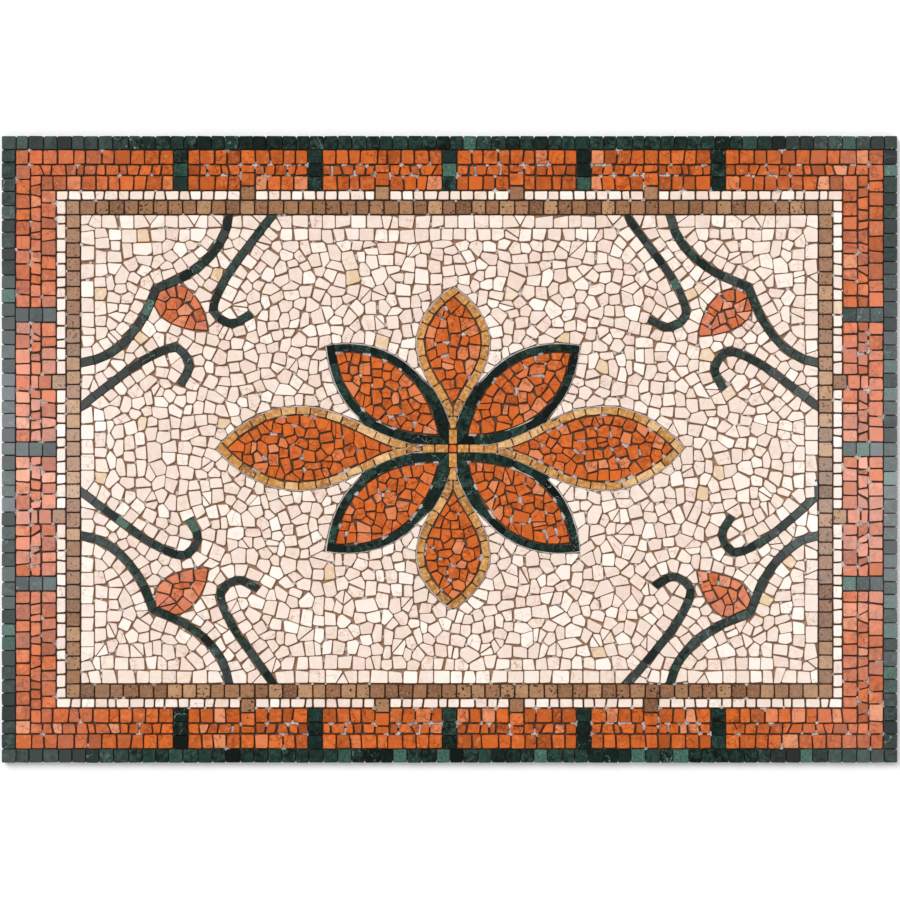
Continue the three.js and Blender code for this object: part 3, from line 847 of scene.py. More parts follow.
# A stone of more than this area may be split across, and this share of such stones is.
LARGE = {"ivory": 1.5e-4, "coral": 1.15e-4, "gold": 1, "green": 1}
BROKEN_SHARE = {"ivory": 0.06, "coral": 0.09}
# The smallest area and the smallest width that a stone of each kind is cut to.
SMALLEST = {
    "ivory": (2.0e-5, 0.0037),
    "coral": (1.6e-5, 0.003),
    "gold": (1.2e-5, 0.0022),
    "green": (1.2e-5, 0.0022),
}
# This share of the stones is squared, by up to a share of their size, and sides up to a length are
# cut away where enough of the stone is kept. Then the corners are worn.
SQUARED_SHARE = 0.7
TRIMMED = {"ivory": 0.035, "coral": 0.06}
CUT_AWAY = {"ivory": 0.0078, "coral": 0.0064}
LEAST_KEPT = 0.84
WORN = {"ivory": 0.0011, "coral": 0.0007, "gold": 0.0006, "green": 0.0006}
# The shortest side of a stone, and the furthest that a stone reaches from its seed.
SHORTEST_SIDE = 0.0012
STONE_REACH = 0.017
# Stones that meet along fewer squares than these have no joint line of their own, or none at all.
SHORT_JOINT = 7
NO_JOINT = 3
STONE_OF = {"green": "green", "vine": "green", "tendril": "green", "gold": "gold", "ivory": "ivory"}


def stone_of(node):
    """The kind of stone that a node is laid in"""
    return STONE_OF.get(node.split("_")[0], "coral")


def half_joint(first, second, sizes, rng):
    """Half the width of the joint between stones of two forms"""
    kinds = {stone_of(first), stone_of(second)}
    if first == second:
        width = {"green": 0.5, "gold": 1.4, "ivory": 0.8}.get(stone_of(first), 1.0) * sizes.joint
        return width / 2 * rng.uniform(0.6, 1.5)
    if "vine" in first + second or "tendril" in first + second:
        return sizes.outline_joint * 0.26 * rng.uniform(0.8, 1.25)
    if kinds == {"green", "gold"} or first.startswith("gold") and second.startswith("gold"):
        return sizes.joint * 0.5
    return sizes.outline_joint / 2 * rng.uniform(0.85, 1.15)


def with_bands(drawing, lines, seeds, owner, sizes, rng):
    """The seeds and the owners of the small squares, with the stones of the bands put in"""
    banded, forms = band_owners(drawing, lines, sizes, rng)
    bands = np.zeros((len(forms), seeds.shape[1]))
    rows, columns = np.nonzero(banded >= 0)
    stone = banded[rows, columns]
    count = np.bincount(stone)
    bands[:, 0] = np.bincount(stone, drawing.x[columns]) / count
    bands[:, 1] = np.bincount(stone, drawing.y[rows]) / count
    bands[:, 6] = forms
    return np.vstack([seeds, bands]), np.where(banded >= 0, banded + len(seeds), owner)


def sides_of(drawing, seeds, owner, sizes, rng):
    """The lines that each stone is cut back to, as a place and the way out"""
    sides = [[] for _ in seeds]
    for (a, b), place, normal, count in zip(*joint_lines(drawing, owner)):
        apart = seeds[b, :2] - seeds[a, :2]
        if count < SHORT_JOINT:
            normal = apart / max(np.hypot(*apart), 1e-9)
            if count < NO_JOINT:
                continue
        if normal @ apart < 0:
            normal = -normal
        names = [drawing.names[int(seeds[k, 6])] for k in (a, b)]
        for k, way in ((a, normal), (b, -normal)):
            sides[k].append((place - way * half_joint(*names, sizes, rng), way))
    return sides


def cut_out(x, y, sides):
    """The outline of the stone at a place, cut back to its sides, or None where nothing is left"""
    edge = np.array((FIELD_X - 0.0002, FIELD_Y - 0.0002))
    low = np.maximum((x - STONE_REACH, y - STONE_REACH), -edge)
    high = np.minimum((x + STONE_REACH, y + STONE_REACH), edge)
    outline = np.array([low, (high[0], low[1]), high, (low[0], high[1])])
    for place, way in sides:
        outline = cut_back(outline, place, way)
        if outline is None:
            break
    return outline


def free_stones(sizes):
    """The outlines of all stones inside the border by node, and the lines of the drawn forms"""
    rng = np.random.default_rng(21)
    drawing, lines = draw_forms()
    seeds = sow(drawing, lines, sizes, rng)
    owner = settled(drawing, seeds, ROUNDS_OF_SETTLING)
    seeds, owner = with_bands(drawing, lines, seeds, owner, sizes, rng)
    sides = sides_of(drawing, seeds, owner, sizes, rng)
    stones = {name: [] for name in drawing.names}
    for (x, y, *_, form), own_sides in zip(seeds, sides):
        outline = cut_out(x, y, own_sides)
        if outline is None:
            continue
        name = drawing.names[int(form)]
        kind = stone_of(name)
        for part in broken(outline, name, sizes, rng):
            if name.startswith(("ivory", "coral", "bud")):
                if rng.random() < SQUARED_SHARE:
                    part = squared(part, TRIMMED[kind], rng)
                part = dressed(part, CUT_AWAY[kind], LEAST_KEPT)
            part = without_short_sides(part, SHORTEST_SIDE)
            area, width = SMALLEST[kind]
            if signed_area(part) >= area and narrowest(part) >= width:
                stones[name].append(worn(part, WORN[kind], rng))
    return stones, lines


def broken(outline, name, sizes, rng):
    """The stone itself, or the two parts of a large one that is split across"""
    kind = stone_of(name)
    middle = outline.mean(axis=0)
    in_first_row = np.any(np.abs(middle) > (FIELD_X - 0.017, FIELD_Y - 0.017))
    whole = name == "centre_stone" or in_first_row or signed_area(outline) < LARGE[kind]
    if rng.random() > BROKEN_SHARE.get(kind, 0) or whole:
        return [outline]
    if rng.random() < 0.6:
        way = outline[rng.integers(len(outline))] - middle
        angle = math.atan2(way[1], way[0]) + rng.normal(0, 0.1)
    else:
        angle = rng.uniform(0, math.pi)
    normal = np.array([-math.sin(angle), math.cos(angle)])
    half = sizes.joint * rng.uniform(0.35, 0.6)
    parts = [cut_back(outline, middle - way * half, way) for way in (normal, -normal)]
    return [part for part in parts if part is not None]


# The rows of the border. A row is drawn along its side, at depths from the panel's edge.
def row(start, end, outer, inner, rng, joint, pitch=1, uneven=0.0, slant=0.0, ragged=0.0004):
    """Four-sided stones next to each other, each as corners of place and depth"""
    count = max(1, round(abs(end - start) / pitch))
    cuts = (np.arange(count + 1) + np.r_[0, rng.uniform(-uneven, uneven, count - 1), 0]) / count
    cuts = start + (end - start) * cuts
    slants = rng.uniform(-slant, slant, count - 1) * rng.choice((0.35, 1.0), count - 1, p=(0.7, 0.3))
    leans = np.r_[0, slants, 0]
    half = joint / 2
    quads = []
    for k in range(count):
        quad = np.array([
            (cuts[k] - leans[k] + half, outer + half),
            (cuts[k + 1] - leans[k + 1] - half, outer + half),
            (cuts[k + 1] + leans[k + 1] - half, inner - half),
            (cuts[k] + leans[k] + half, inner - half),
        ])
        towards = np.array([(1, 1), (-1, 1), (-1, -1), (1, -1)])
        quads.append(quad + towards * rng.uniform(0, ragged, (4, 2)))
    return quads


def on_side(side, quad):
    """Corners of place and depth, on the plan"""
    along, depth = np.array(quad).T
    if side in LONG_SIDES:
        return np.column_stack([along, (HALF_WIDTH - depth) * (1 if side == "top" else -1)])
    return np.column_stack([(HALF_LENGTH - depth) * (1 if side == "right" else -1), along])


def bars_of(side):
    """The places of the bars along a side"""
    return [k * BAR_SPACING for k in (LONG_BARS if side in LONG_SIDES else SHORT_BARS)]


def half_side(side):
    """Half the length of a side"""
    return HALF_LENGTH if side in LONG_SIDES else HALF_WIDTH


def laid(side, quads, radius, rng, steps=3):
    """A row's stones on the plan, turned the right way, with worn corners"""
    outlines = []
    for quad in quads:
        outline = without_short_sides(on_side(side, quad), 0.0015)
        if signed_area(outline) < 0:
            outline = outline[::-1]
        if narrowest(outline) > NARROWEST:
            outlines.append(worn(outline, radius, rng, steps))
    return outlines


def row_ends(side, outer, inner):
    """How far a row reaches along its side: the long rows run on into the corners"""
    return half_side(side) - (outer if side in LONG_SIDES else inner)


def green_border_stones():
    """The squares round the edge, with the bars that reach in across the coral"""
    rng = np.random.default_rng(31)
    stones = []
    for side in SIDES:
        end = row_ends(side, GREEN_OVERHANG, EDGE_LINE)
        squares = row(-end, end, GREEN_OVERHANG, EDGE_LINE, rng, *GREEN_ROW)
        stones += laid(side, squares, SQUARE_WORN, rng)
        for bar in bars_of(side):
            lines = np.linspace(CORAL_LINES[0], CORAL_LINES[-1], 4)
            for outer, inner in zip(lines, lines[1:]):
                block = row(bar - BAR_LINE, bar + BAR_LINE, outer, inner, rng, BAR_JOINT)
                stones += laid(side, block, BLOCK_WORN, rng)
    return stones


def coral_block_stones(side, start, end, sizes, rng):
    """The three rows of coral between two bars, pushed outwards by the stud in the middle"""
    left, right = (start + end) / 2 - STUD_LINE, (start + end) / 2 + STUD_LINE
    first, second, third, last = CORAL_LINES
    pushed, pushed_last = PUSHED_LINES
    shapes = [(rng, sizes.joint, *shape) for shape in BLOCK_ROWS]
    quads = row(start, end, first, second, *shapes[0])
    for k, (a, b) in enumerate(((start, left), (left, right), (right, end))):
        outer, inner = (pushed, pushed_last) if k == 1 else (third, last)
        quads += row(a, b, second, outer, *shapes[1])
        quads += row(a, b, outer, inner, *shapes[2])
    return laid(side, quads, BLOCK_WORN, rng, 2)


def coral_corner_stones(x, y, sizes, rng):
    """The angle of coral round a corner, with each long row run on over the short one"""
    stones = []
    ends = ("right" if x > 0 else "left", "top" if y > 0 else "bottom")
    for outer, inner, shape in zip(CORAL_LINES, CORAL_LINES[1:], ANGLE_ROWS):
        drawn = (outer, inner, rng, sizes.joint, *shape)
        long = row(2 * BAR_SPACING + BAR_LINE, HALF_LENGTH - outer, *drawn)
        short = row(BAR_SPACING + BAR_LINE, HALF_WIDTH - inner, *drawn)
        stones += laid(ends[1], [quad * (x, 1) for quad in long], BLOCK_WORN, rng, 2)
        stones += laid(ends[0], [quad * (y, 1) for quad in short], BLOCK_WORN, rng, 2)
    return stones


def coral_border(sizes):
    """The stones of each coral block and corner, by node"""
    rng = np.random.default_rng(32)
    stones = {}
    for side in SIDES:
        bars = bars_of(side) if side in LONG_SIDES else bars_of(side)[::-1]
        for number, (a, b) in enumerate(zip(bars, bars[1:]), 1):
            start, end = min(a, b) + BAR_LINE, max(a, b) - BAR_LINE
            stones[f"coral_block_{side}_{number}"] = coral_block_stones(side, start, end, sizes, rng)
    for corner, (x, y, *_) in CORNERS.items():
        stones[f"coral_corner_{corner}"] = coral_corner_stones(x, y, sizes, rng)
    return stones


def studs_of(side):
    """The places of the studs along a side, between its bars"""
    bars = bars_of(side)
    return [(a + b) / 2 for a, b in zip(bars, bars[1:])]


def ivory_row_stones():
    """The narrow ivory row, which stops at each stud"""
    rng = np.random.default_rng(33)
    stones = []
    for side in SIDES:
        end = row_ends(side, CORAL_LINES[-1], IVORY_LINE)
        cuts = [-end]
        for stud in studs_of(side):
            cuts += [stud - STUD_LINE, stud + STUD_LINE]
        cuts.append(end)
        for start, stop in zip(cuts[::2], cuts[1::2]):
            quads = row(start, stop, CORAL_LINES[-1], IVORY_LINE, rng, *IVORY_ROW)
            stones += laid(side, quads, ROW_WORN, rng)
    return stones


def travertine_row_stones():
    """The brown squares round the field, and the studs outside them"""
    rng = np.random.default_rng(34)
    stones = []
    for side in SIDES:
        end = row_ends(side, IVORY_LINE, TRAVERTINE_LINE)
        squares = row(-end, end, IVORY_LINE, TRAVERTINE_LINE, rng, *TRAVERTINE_ROW)
        stones += laid(side, squares, TRAVERTINE_WORN, rng)
        for stud in studs_of(side):
            ends = (stud - STUD_LINE, stud + STUD_LINE)
            square = row(*ends, PUSHED_LINES[1], IVORY_LINE, rng, STUD_JOINT)
            stones += laid(side, square, ROW_WORN, rng)
    return stones


LAID = {}


def laid_stones(sizes):
    """The outlines of every stone of the panel by node, worked out once"""
    if not LAID:
        stones, lines = free_stones(sizes)
        stones.update(coral_border(sizes))
        stones["green_border"] = green_border_stones()
        stones["ivory_row"] = ivory_row_stones()
        stones["travertine_row"] = travertine_row_stones()
        LAID.update(stones=stones, lines=lines)
    return LAID["stones"]


# Making the pieces.
def only(piece):
    """Makes a piece the only one that is selected and active"""
    for other in bpy.context.selected_objects:
        other.select_set(False)
    bpy.context.view_layer.objects.active = piece
    piece.select_set(True)


def new_piece(name, verts, faces, edges=()):
    """A piece from points and faces, the only one that is selected"""
    mesh = bpy.data.meshes.new(name)
    mesh.from_pydata(verts, edges, faces)
    piece = bpy.data.objects.new(name, mesh)
    bpy.context.scene.collection.objects.link(piece)
    only(piece)
    return piece


def apply_modifier(piece, kind, **settings):
    """Adds a modifier, sets it and applies it"""
    modifier = piece.modifiers.new(kind.title(), kind)
    for name, value in settings.items():
        setattr(modifier, name, value)
    bpy.ops.object.modifier_apply(modifier=modifier.name)


def raise_up(*rises):
    """Draws the active piece up from its flat shape, once for each rise"""
    bpy.ops.object.mode_set(mode="EDIT")
    bpy.ops.mesh.select_all(action="SELECT")
    for rise in rises:
        bpy.ops.mesh.extrude_region_move(TRANSFORM_OT_translate={"value": (0, 0, rise)})
    bpy.ops.object.mode_set(mode="OBJECT")


def face_outwards():
    """Turns all faces of the active piece outwards"""
    bpy.ops.object.mode_set(mode="EDIT")
    bpy.ops.mesh.select_all(action="SELECT")
    bpy.ops.mesh.normals_make_consistent(inside=False)
    bpy.ops.object.mode_set(mode="OBJECT")


def stone_numbers(mesh):
    """The number of the stone that each point of a mesh belongs to"""
    numbers = np.empty(len(mesh.vertices), np.float32)
    mesh.attributes["stone"].data.foreach_get("value", numbers)
    return np.rint(numbers).astype(int)


def points_of(mesh):
    """The places of a mesh's points"""
    places = np.empty(len(mesh.vertices) * 3)
    mesh.vertices.foreach_get("co", places)
    return places.reshape(-1, 3)


# How far most stones are set low, at most.
SUNK = 0.0004


def eased(places, numbers, middles, rim):
    """Draws the upper points in towards the middle of their own stone, so that its rim is eased"""
    ease = 0.25 * rim
    out = places[:, :2] - middles[numbers]
    reach = np.hypot(out[:, 0], out[:, 1])
    height = places[:, 2]
    drawn_in = np.select([height > TOP - ease / 2, height > TOP - 1.5 * ease], [1.7, 0.9], 0.0)
    share = np.minimum(drawn_in * rim / np.maximum(reach, 1e-6), 0.16 * drawn_in)
    places[:, :2] -= out * share[:, None]


def leant(places, numbers, middles, lean, rng):
    """Leans each stone a little its own way and sets it a little low, so that none stands proud"""
    height = np.clip((places[:, 2] - FOOT) / (TOP - FOOT), 0, 1)
    leans = rng.normal(0, lean / 2, (len(middles), 2)).clip(-lean, lean)
    drop = np.abs(rng.normal(0, SUNK / 2, len(middles)))
    tilt = np.sum((places[:, :2] - middles[numbers]) * leans[numbers], axis=1)
    highest = np.full(len(middles), -1.0)
    np.maximum.at(highest, numbers, tilt)
    places[:, 2] -= height * (highest[numbers] - tilt + drop[numbers])


def keep_looks(mesh, node, numbers, middles, rim_wear_and_shade, rng):
    """Keeps on the mesh what the materials read: each stone's tones and shift, its painted light near the
    short sides with its veil of dust, and its rim, darkened as worn edge and painted shade
    """
    tones = rng.random((len(middles), 4))
    tones[:, 0] = toned(node, tones[:, 0])
    shifts = rng.uniform(-0.5, 0.5, (len(middles), 3))
    # Painted light: stones near the middle of both short sides are made paler and greyer. Some forms get a
    # veil of dust on top of that.
    fade = painted_end_light(middles, rng.random(len(middles)))
    if node.startswith(("vine", "tendril")):
        fade *= VINE_END_LIGHT
    fade += rng.uniform(*VEILS.get(node.split("_")[0], (0, 0)), len(middles))
    layers = (
        ("tone", "FLOAT_COLOR", "color", tones[numbers]),
        ("shift", "FLOAT_VECTOR", "vector", shifts[numbers]),
        ("rim", "FLOAT", "value", rim_wear_and_shade),
        ("fade", "FLOAT", "value", fade[numbers]),
    )
    for name, kind, field, values in layers:
        layer = mesh.attributes.new(name, kind, "POINT")
        layer.data.foreach_set(field, values.astype(np.float32).ravel())


def lay_stones(node, outlines, kind, seed, rim, lean):
    """Makes the stones of a node: outlines raised to a block, their rims eased, each its own way up"""
    rng = np.random.default_rng(seed)
    counts = [len(outline) for outline in outlines]
    starts = np.r_[0, np.cumsum(counts)[:-1]]
    flat = np.vstack(outlines)
    verts = np.column_stack([flat, np.full(len(flat), FOOT)])
    faces = [tuple(range(start, start + count)) for start, count in zip(starts, counts)]
    piece = new_piece(f"{node}_stones", verts.tolist(), faces)
    mesh = piece.data
    mesh.attributes.new("stone", "FLOAT", "POINT").data.foreach_set(
        "value", np.repeat(np.arange(len(outlines)), counts).astype(np.float32)
    )
    ease = 0.25 * rim
    levels = (TOP - 0.85 * rim - ease, TOP - ease, TOP)
    raise_up(*(high - low for low, high in zip((FOOT, *levels), levels)))
    face_outwards()
    numbers = stone_numbers(mesh)
    middles = np.array([outline.mean(axis=0) for outline in outlines])
    places = points_of(mesh)
    # Every point below the top face gets a rim share. The materials darken the stone's rim and sides by it,
    # partly as worn edge and partly as painted shade in the joints.
    rim_wear_and_shade = np.where(places[:, 2] > TOP - ease / 2, 0.0, 1.0)
    eased(places, numbers, middles, rim)
    leant(places, numbers, middles, lean, rng)
    mesh.vertices.foreach_set("co", places.ravel())
    mesh.attributes.remove(mesh.attributes["stone"])
    keep_looks(mesh, node, numbers, middles, rim_wear_and_shade, rng)
    mesh.update()
    bpy.ops.object.shade_smooth_by_angle(angle=math.radians(50))
    apply_modifier(piece, "WEIGHTED_NORMAL", keep_sharp=True, weight=80)
    mesh.materials.append(material_of(kind))
    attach(piece, "root")
    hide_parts(node)


def rectangle(half_x, half_y, z):
    """The corners of a flat rectangle centred on the panel"""
    return [(-half_x, -half_y, z), (half_x, -half_y, z), (half_x, half_y, z), (-half_x, half_y, z)]


def flat_block(name, half_x, half_y, low, high):
    """A thin block centred on the panel, from one height to another"""
    piece = new_piece(name, rectangle(half_x, half_y, low), [(0, 1, 2, 3)])
    raise_up(high - low)
    face_outwards()
    return piece


def add_stack(verts, faces, rings):
    """Adds a closed block to points and faces, from rings of points one above the other"""
    first, count = len(verts), len(rings[0])
    for ring in rings:
        verts += ring
    last = len(verts) - count
    faces.append(tuple(range(first + count - 1, first - 1, -1)))
    faces.append(tuple(range(last, last + count)))
    for low in range(first, last, count):
        for k in range(count):
            a, b = low + k, low + (k + 1) % count
            faces.append((a, b, b + count, a + count))


def petal_bed(lines):
    """A film of darker dust over the bed, under each petal with its edging and under each bud; its darkness
    is painted shade of their joints
    """
    verts, faces = [], []
    for name, line in lines.items():
        if "edging" in name:
            outline = np.vstack([line[0], line[1][-2:0:-1]])
        elif name.startswith("bud"):
            outline = line[:-1] if np.allclose(line[0], line[-1]) else line
        else:
            continue
        if signed_area(outline) < 0:
            outline = outline[::-1]
        top = BED_TOP + PETAL_BEDS["gold" if name.startswith("gold") else "other"]
        add_stack(verts, faces, [[(x, y, z) for x, y in outline] for z in (BED_TOP - 0.0005, top)])
    return new_piece("petal_bed", verts, faces)


def glue_lines(lines):
    """The lines that the glue follows along both sides of the petals' edgings, short of the middle"""
    found = []
    for name, line in lines.items():
        if "edging" not in name:
            continue
        tip = line[0][0]
        axis = np.array(FLOWER) - tip
        axis = axis / np.hypot(*axis)
        across = np.array([-axis[1], axis[0]])
        for edge, sign in zip(line, (1, -1)):
            hollow = beside(edge, -sign * PETAL_EDGING)
            side = np.sign(((edge - tip) @ across).sum())
            within = (hollow - tip) @ across * side > 0.0004
            clear = np.hypot(*(edge - FLOWER).T) > CLEAR_OF_MIDDLE
            for part in (edge[clear], hollow[within & clear]):
                if len(part) > 2:
                    found.append(respaced(part, 0.004))
    return found


def wide_gaps(stones, rng):
    """Places in the gaps that are wider than about two and a half millimetres"""
    columns, rows = round(2 * HALF_LENGTH / STEP), round(2 * HALF_WIDTH / STEP)
    x = -HALF_LENGTH + (np.arange(columns) + 0.5) * STEP
    y = -HALF_WIDTH + (np.arange(rows) + 0.5) * STEP
    edge = (HALF_LENGTH, HALF_WIDTH)
    open_place = np.ones((rows, columns), bool)
    for outlines in stones.values():
        for outline in outlines:
            low = ((outline.min(axis=0) + edge) / STEP).astype(int)
            high = ((outline.max(axis=0) + edge) / STEP).astype(int) + 2
            part = (slice(max(low[1], 0), high[1]), slice(max(low[0], 0), high[0]))
            open_place[part] &= ~inside(outline, x[None, part[1]], y[part[0], None])
    wide = open_place
    for _ in range(2):
        for axis in (0, 1):
            wide = wide & np.roll(wide, 1, axis) & np.roll(wide, -1, axis)
    margin = round(EDGE_LINE / STEP)
    wide[:margin] = wide[-margin:] = False
    wide[:, :margin] = wide[:, -margin:] = False
    places = []
    found = np.argwhere(wide)
    for row_at, column_at in found[rng.permutation(len(found))]:
        if wide[row_at, column_at]:
            places.append((x[column_at], y[row_at]))
            wide[max(row_at - 5, 0):row_at + 6, max(column_at - 5, 0):column_at + 6] = False
    return np.array(places)


def glued_places(places, lines, rng):
    """The places where glue stands in a wide gap, and how far it spreads: it shows most in the coral"""
    x, y = places.T
    coral = np.minimum(HALF_LENGTH - np.abs(x), HALF_WIDTH - np.abs(y)) < CORAL_LINES[-1]
    for name, line in lines.items():
        if "edging" in name:
            coral |= inside(np.vstack([line[0], line[1][::-1]]), x, y)
    chance = rng.random(len(places))
    in_coral = rng.uniform(*CORAL_GLUE_REACH, len(places))
    in_field = rng.uniform(*FIELD_GLUE_REACH, len(places))
    reach = np.where(coral, in_coral, in_field)
    kept = chance < np.where(coral, CORAL_GLUED_SHARE, FIELD_GLUED_SHARE)
    return places[kept], reach[kept]


# The share of the painted light near the short sides that the vines and tendrils have, and the thin veil of
# dust on some forms.
VINE_END_LIGHT = 0.45
VEILS = {"bud": (0.1, 0.45), "vine": (0.01, 0.18), "tendril": (0.01, 0.18)}


def painted_end_light(middles, chance):
    """Painted light: how much paler and greyer a stone is made near the middle of both short sides"""
    x, y = middles[:, 0], middles[:, 1]
    near_end = np.clip((np.abs(x) - 0.31) / 0.16, 0, 1)
    strongest = np.where(x > 0, -0.05, 0.0)
    bell = 0.2 + 0.8 * np.exp(-(((y - strongest) / 0.17) ** 2))
    return near_end**2 * (3 - 2 * near_end) * bell * (0.45 + 0.75 * chance)


def toned(node, chance):
    """How light each stone of a node is, from its chance share"""
    if node == "centre_stone":
        return np.full(len(chance), 0.86)
    if node.startswith(("coral_petal", "bud")):
        return 0.42 + 0.56 * chance
    if node == "green_border":
        return chance ** 1.3
    if stone_of(node) == "green":
        return np.where(chance > 0.982, 0.97, 0.7 * chance)
    if node in ("gold_edging_top", "gold_edging_bottom"):
        return 0.72 * chance
    return chance


# Materials. Each is worked out from a stone's own tone and shift, so no two stones are alike.
class Recipe:
    """A material's nodes, put together step by step"""

    def __init__(self, name):
        self.material = bpy.data.materials.new(name)
        self.material.use_nodes = True
        self.nodes = self.material.node_tree.nodes
        self.links = self.material.node_tree.links
        self.shader = self.nodes["Principled BSDF"]

    def node(self, kind, inputs=(), **settings):
        """A node with its settings, and its inputs as values or other nodes' outputs"""
        made = self.nodes.new(f"ShaderNode{kind}")
        for name, value in settings.items():
            setattr(made, name, value)
        for name, value in dict(inputs).items():
            self.feed(made.inputs[name], value)
        return made

    def feed(self, socket, value):
        """Gives a socket a value, a colour or another node's output"""
        if isinstance(value, bpy.types.NodeSocket):
            self.links.new(value, socket)
        elif hasattr(socket.default_value, "__len__") and len(socket.default_value) == 4:
            socket.default_value = (*value, 1.0) if len(value) == 3 else value
        else:
            socket.default_value = value

    def attribute(self, name, output="Fac"):
        """What a mesh keeps under a name"""
        return self.node("Attribute", attribute_name=name).outputs[output]

    def math(self, operation, first, second=0.0):
        """A sum of one or two values"""
        made = self.node("Math", operation=operation)
        for socket, value in zip(made.inputs, (first, second)):
            self.feed(socket, value)
        return made.outputs[0]

    def mix(self, share, first, second, blend="MIX"):
        """Two colours mixed"""
        made = self.node("Mix", data_type="RGBA", blend_type=blend)
        self.feed(made.inputs[0], share)
        self.feed(made.inputs[6], first)
        self.feed(made.inputs[7], second)
        return made.outputs[2]

    def ramp(self, value, stops):
        """A value turned into a colour or a grey by stops"""
        made = self.node("ValToRGB", {"Fac": value})
        elements = made.color_ramp.elements
        for k, (place, shade) in enumerate(stops):
            element = elements[k] if k < 2 else elements.new(place)
            element.position = place
            element.color = (*shade, 1.0) if hasattr(shade, "__len__") else (shade, shade, shade, 1.0)
        return made.outputs["Color"]

    def noise(self, where, scale, detail=2.0, roughness=0.5, distortion=0.0):
        """Soft clouds"""
        inputs = {"Vector": where, "Scale": scale, "Detail": detail}
        inputs.update(Roughness=roughness, Distortion=distortion)
        return self.node("TexNoise", inputs).outputs["Fac"]

    def rise(self, value, low, high, most=1.0):
        """A grey that goes from nought at one value to its most at a higher one"""
        return self.ramp(value, [(low, 0.0), (high, most)])

    def tinted(self, body, shade, *shares):
        """A colour with a shade laid over it, as strongly as the shares multiplied"""
        *others, share = shares
        for other in reversed(others):
            share = self.math("MULTIPLY", other, share)
        return self.mix(share, body, shade)

    def warped(self, where, scale, amount):
        """The place to read a pattern at, pushed about so that its lines wander"""
        push = self.node("TexNoise", {"Vector": where, "Scale": scale, "Detail": 2.0}).outputs["Color"]
        made = self.node("VectorMath", {0: push}, operation="MULTIPLY_ADD")
        made.inputs[1].default_value = (amount, amount, amount)
        self.feed(made.inputs[2], where)
        return made.outputs[0]

    def veins(self, where, scale, amount, closeness, width):
        """Thin crossing lines that wander, one in their middle and nought at their sides"""
        inputs = {"Vector": self.warped(where, scale, amount), "Scale": closeness}
        away = self.node("TexVoronoi", inputs, feature="DISTANCE_TO_EDGE").outputs["Distance"]
        return self.ramp(away, [(0.0, 1.0), (width, 0.0)])

    def with_end_light_and_veil(self, colour_out, shade):
        """The colour with painted light added: paler and greyer by each stone's share of the light near the
        short sides and of its veil of dust
        """
        return self.mix(self.attribute("fade"), colour_out, shade, "ADD")

    def finish(self, colour_out, roughness, height, relief, sheen=0.25):
        """Colour, roughness, sheen and relief on the shader"""
        self.shader.inputs["Specular IOR Level"].default_value = sheen
        self.feed(self.shader.inputs["Base Color"], colour_out)
        self.feed(self.shader.inputs["Roughness"], roughness)
        bump = self.node("Bump", {"Height": height, "Strength": 1.0, "Distance": relief})
        self.feed(self.shader.inputs["Normal"], bump.outputs["Normal"])
        return self.material


def stone_grain(recipe):
    """The place to read patterns at, moved a different way on each stone, and the stone's tones"""
    place = recipe.node("TexCoord").outputs["Object"]
    shift = recipe.attribute("shift", "Vector")
    where = recipe.node("VectorMath", {0: place, 1: shift}, operation="ADD").outputs[0]
    split = recipe.node("SeparateColor", {"Color": recipe.attribute("tone", "Color")})
    return where, split.outputs[0], split.outputs[1], split.outputs[2], recipe.attribute("tone", "Alpha")


def scaled(shade, factor):
    """A colour made darker or lighter"""
    return tuple(min(1.0, c * factor) for c in shade)


def shades(colours, *names):
    """Some of the panel's colours by name"""
    return [tuple(getattr(colours, name)) for name in names]


def green_marble(colours):
    """Dark green marble with clouds and a few white veins"""
    recipe = Recipe("green marble")
    where, tone, cloudy, veined, _ = stone_grain(recipe)
    dark, green, pale = shades(colours, "green_dark", "green", "green_pale")
    base = recipe.ramp(tone, [
        (0.0, dark), (0.3, scaled(green, 0.6)), (0.6, green), (0.85, scaled(green, 2.2)), (1.0, pale),
    ])
    clouds = recipe.noise(where, 150, 5.0, 0.66, 0.6)
    body = recipe.tinted(base, pale, recipe.rise(clouds, 0.4, 0.75), cloudy, 0.8)
    spots = recipe.rise(recipe.noise(where, 480, 4.0, 0.7), 0.42, 0.66)
    body = recipe.tinted(body, scaled(green, 0.5), spots, 0.75)
    veins = recipe.veins(where, 160, 0.012, 55, 0.028)
    broken_up = recipe.rise(recipe.noise(where, 190, 2.0), 0.45, 0.6)
    few = recipe.rise(veined, 0.72, 0.92, 0.55)
    body = recipe.tinted(body, (0.42, 0.55, 0.5), veins, few, broken_up)
    # Painted light: paler and greyer near the middle of both short sides.
    body = recipe.with_end_light_and_veil(body, (0.2, 0.205, 0.215))
    height = recipe.noise(where, 700, 3.0)
    return recipe.finish(body, recipe.ramp(clouds, [(0.3, 0.55), (0.7, 0.4)]), height, 0.0001, 0.08)


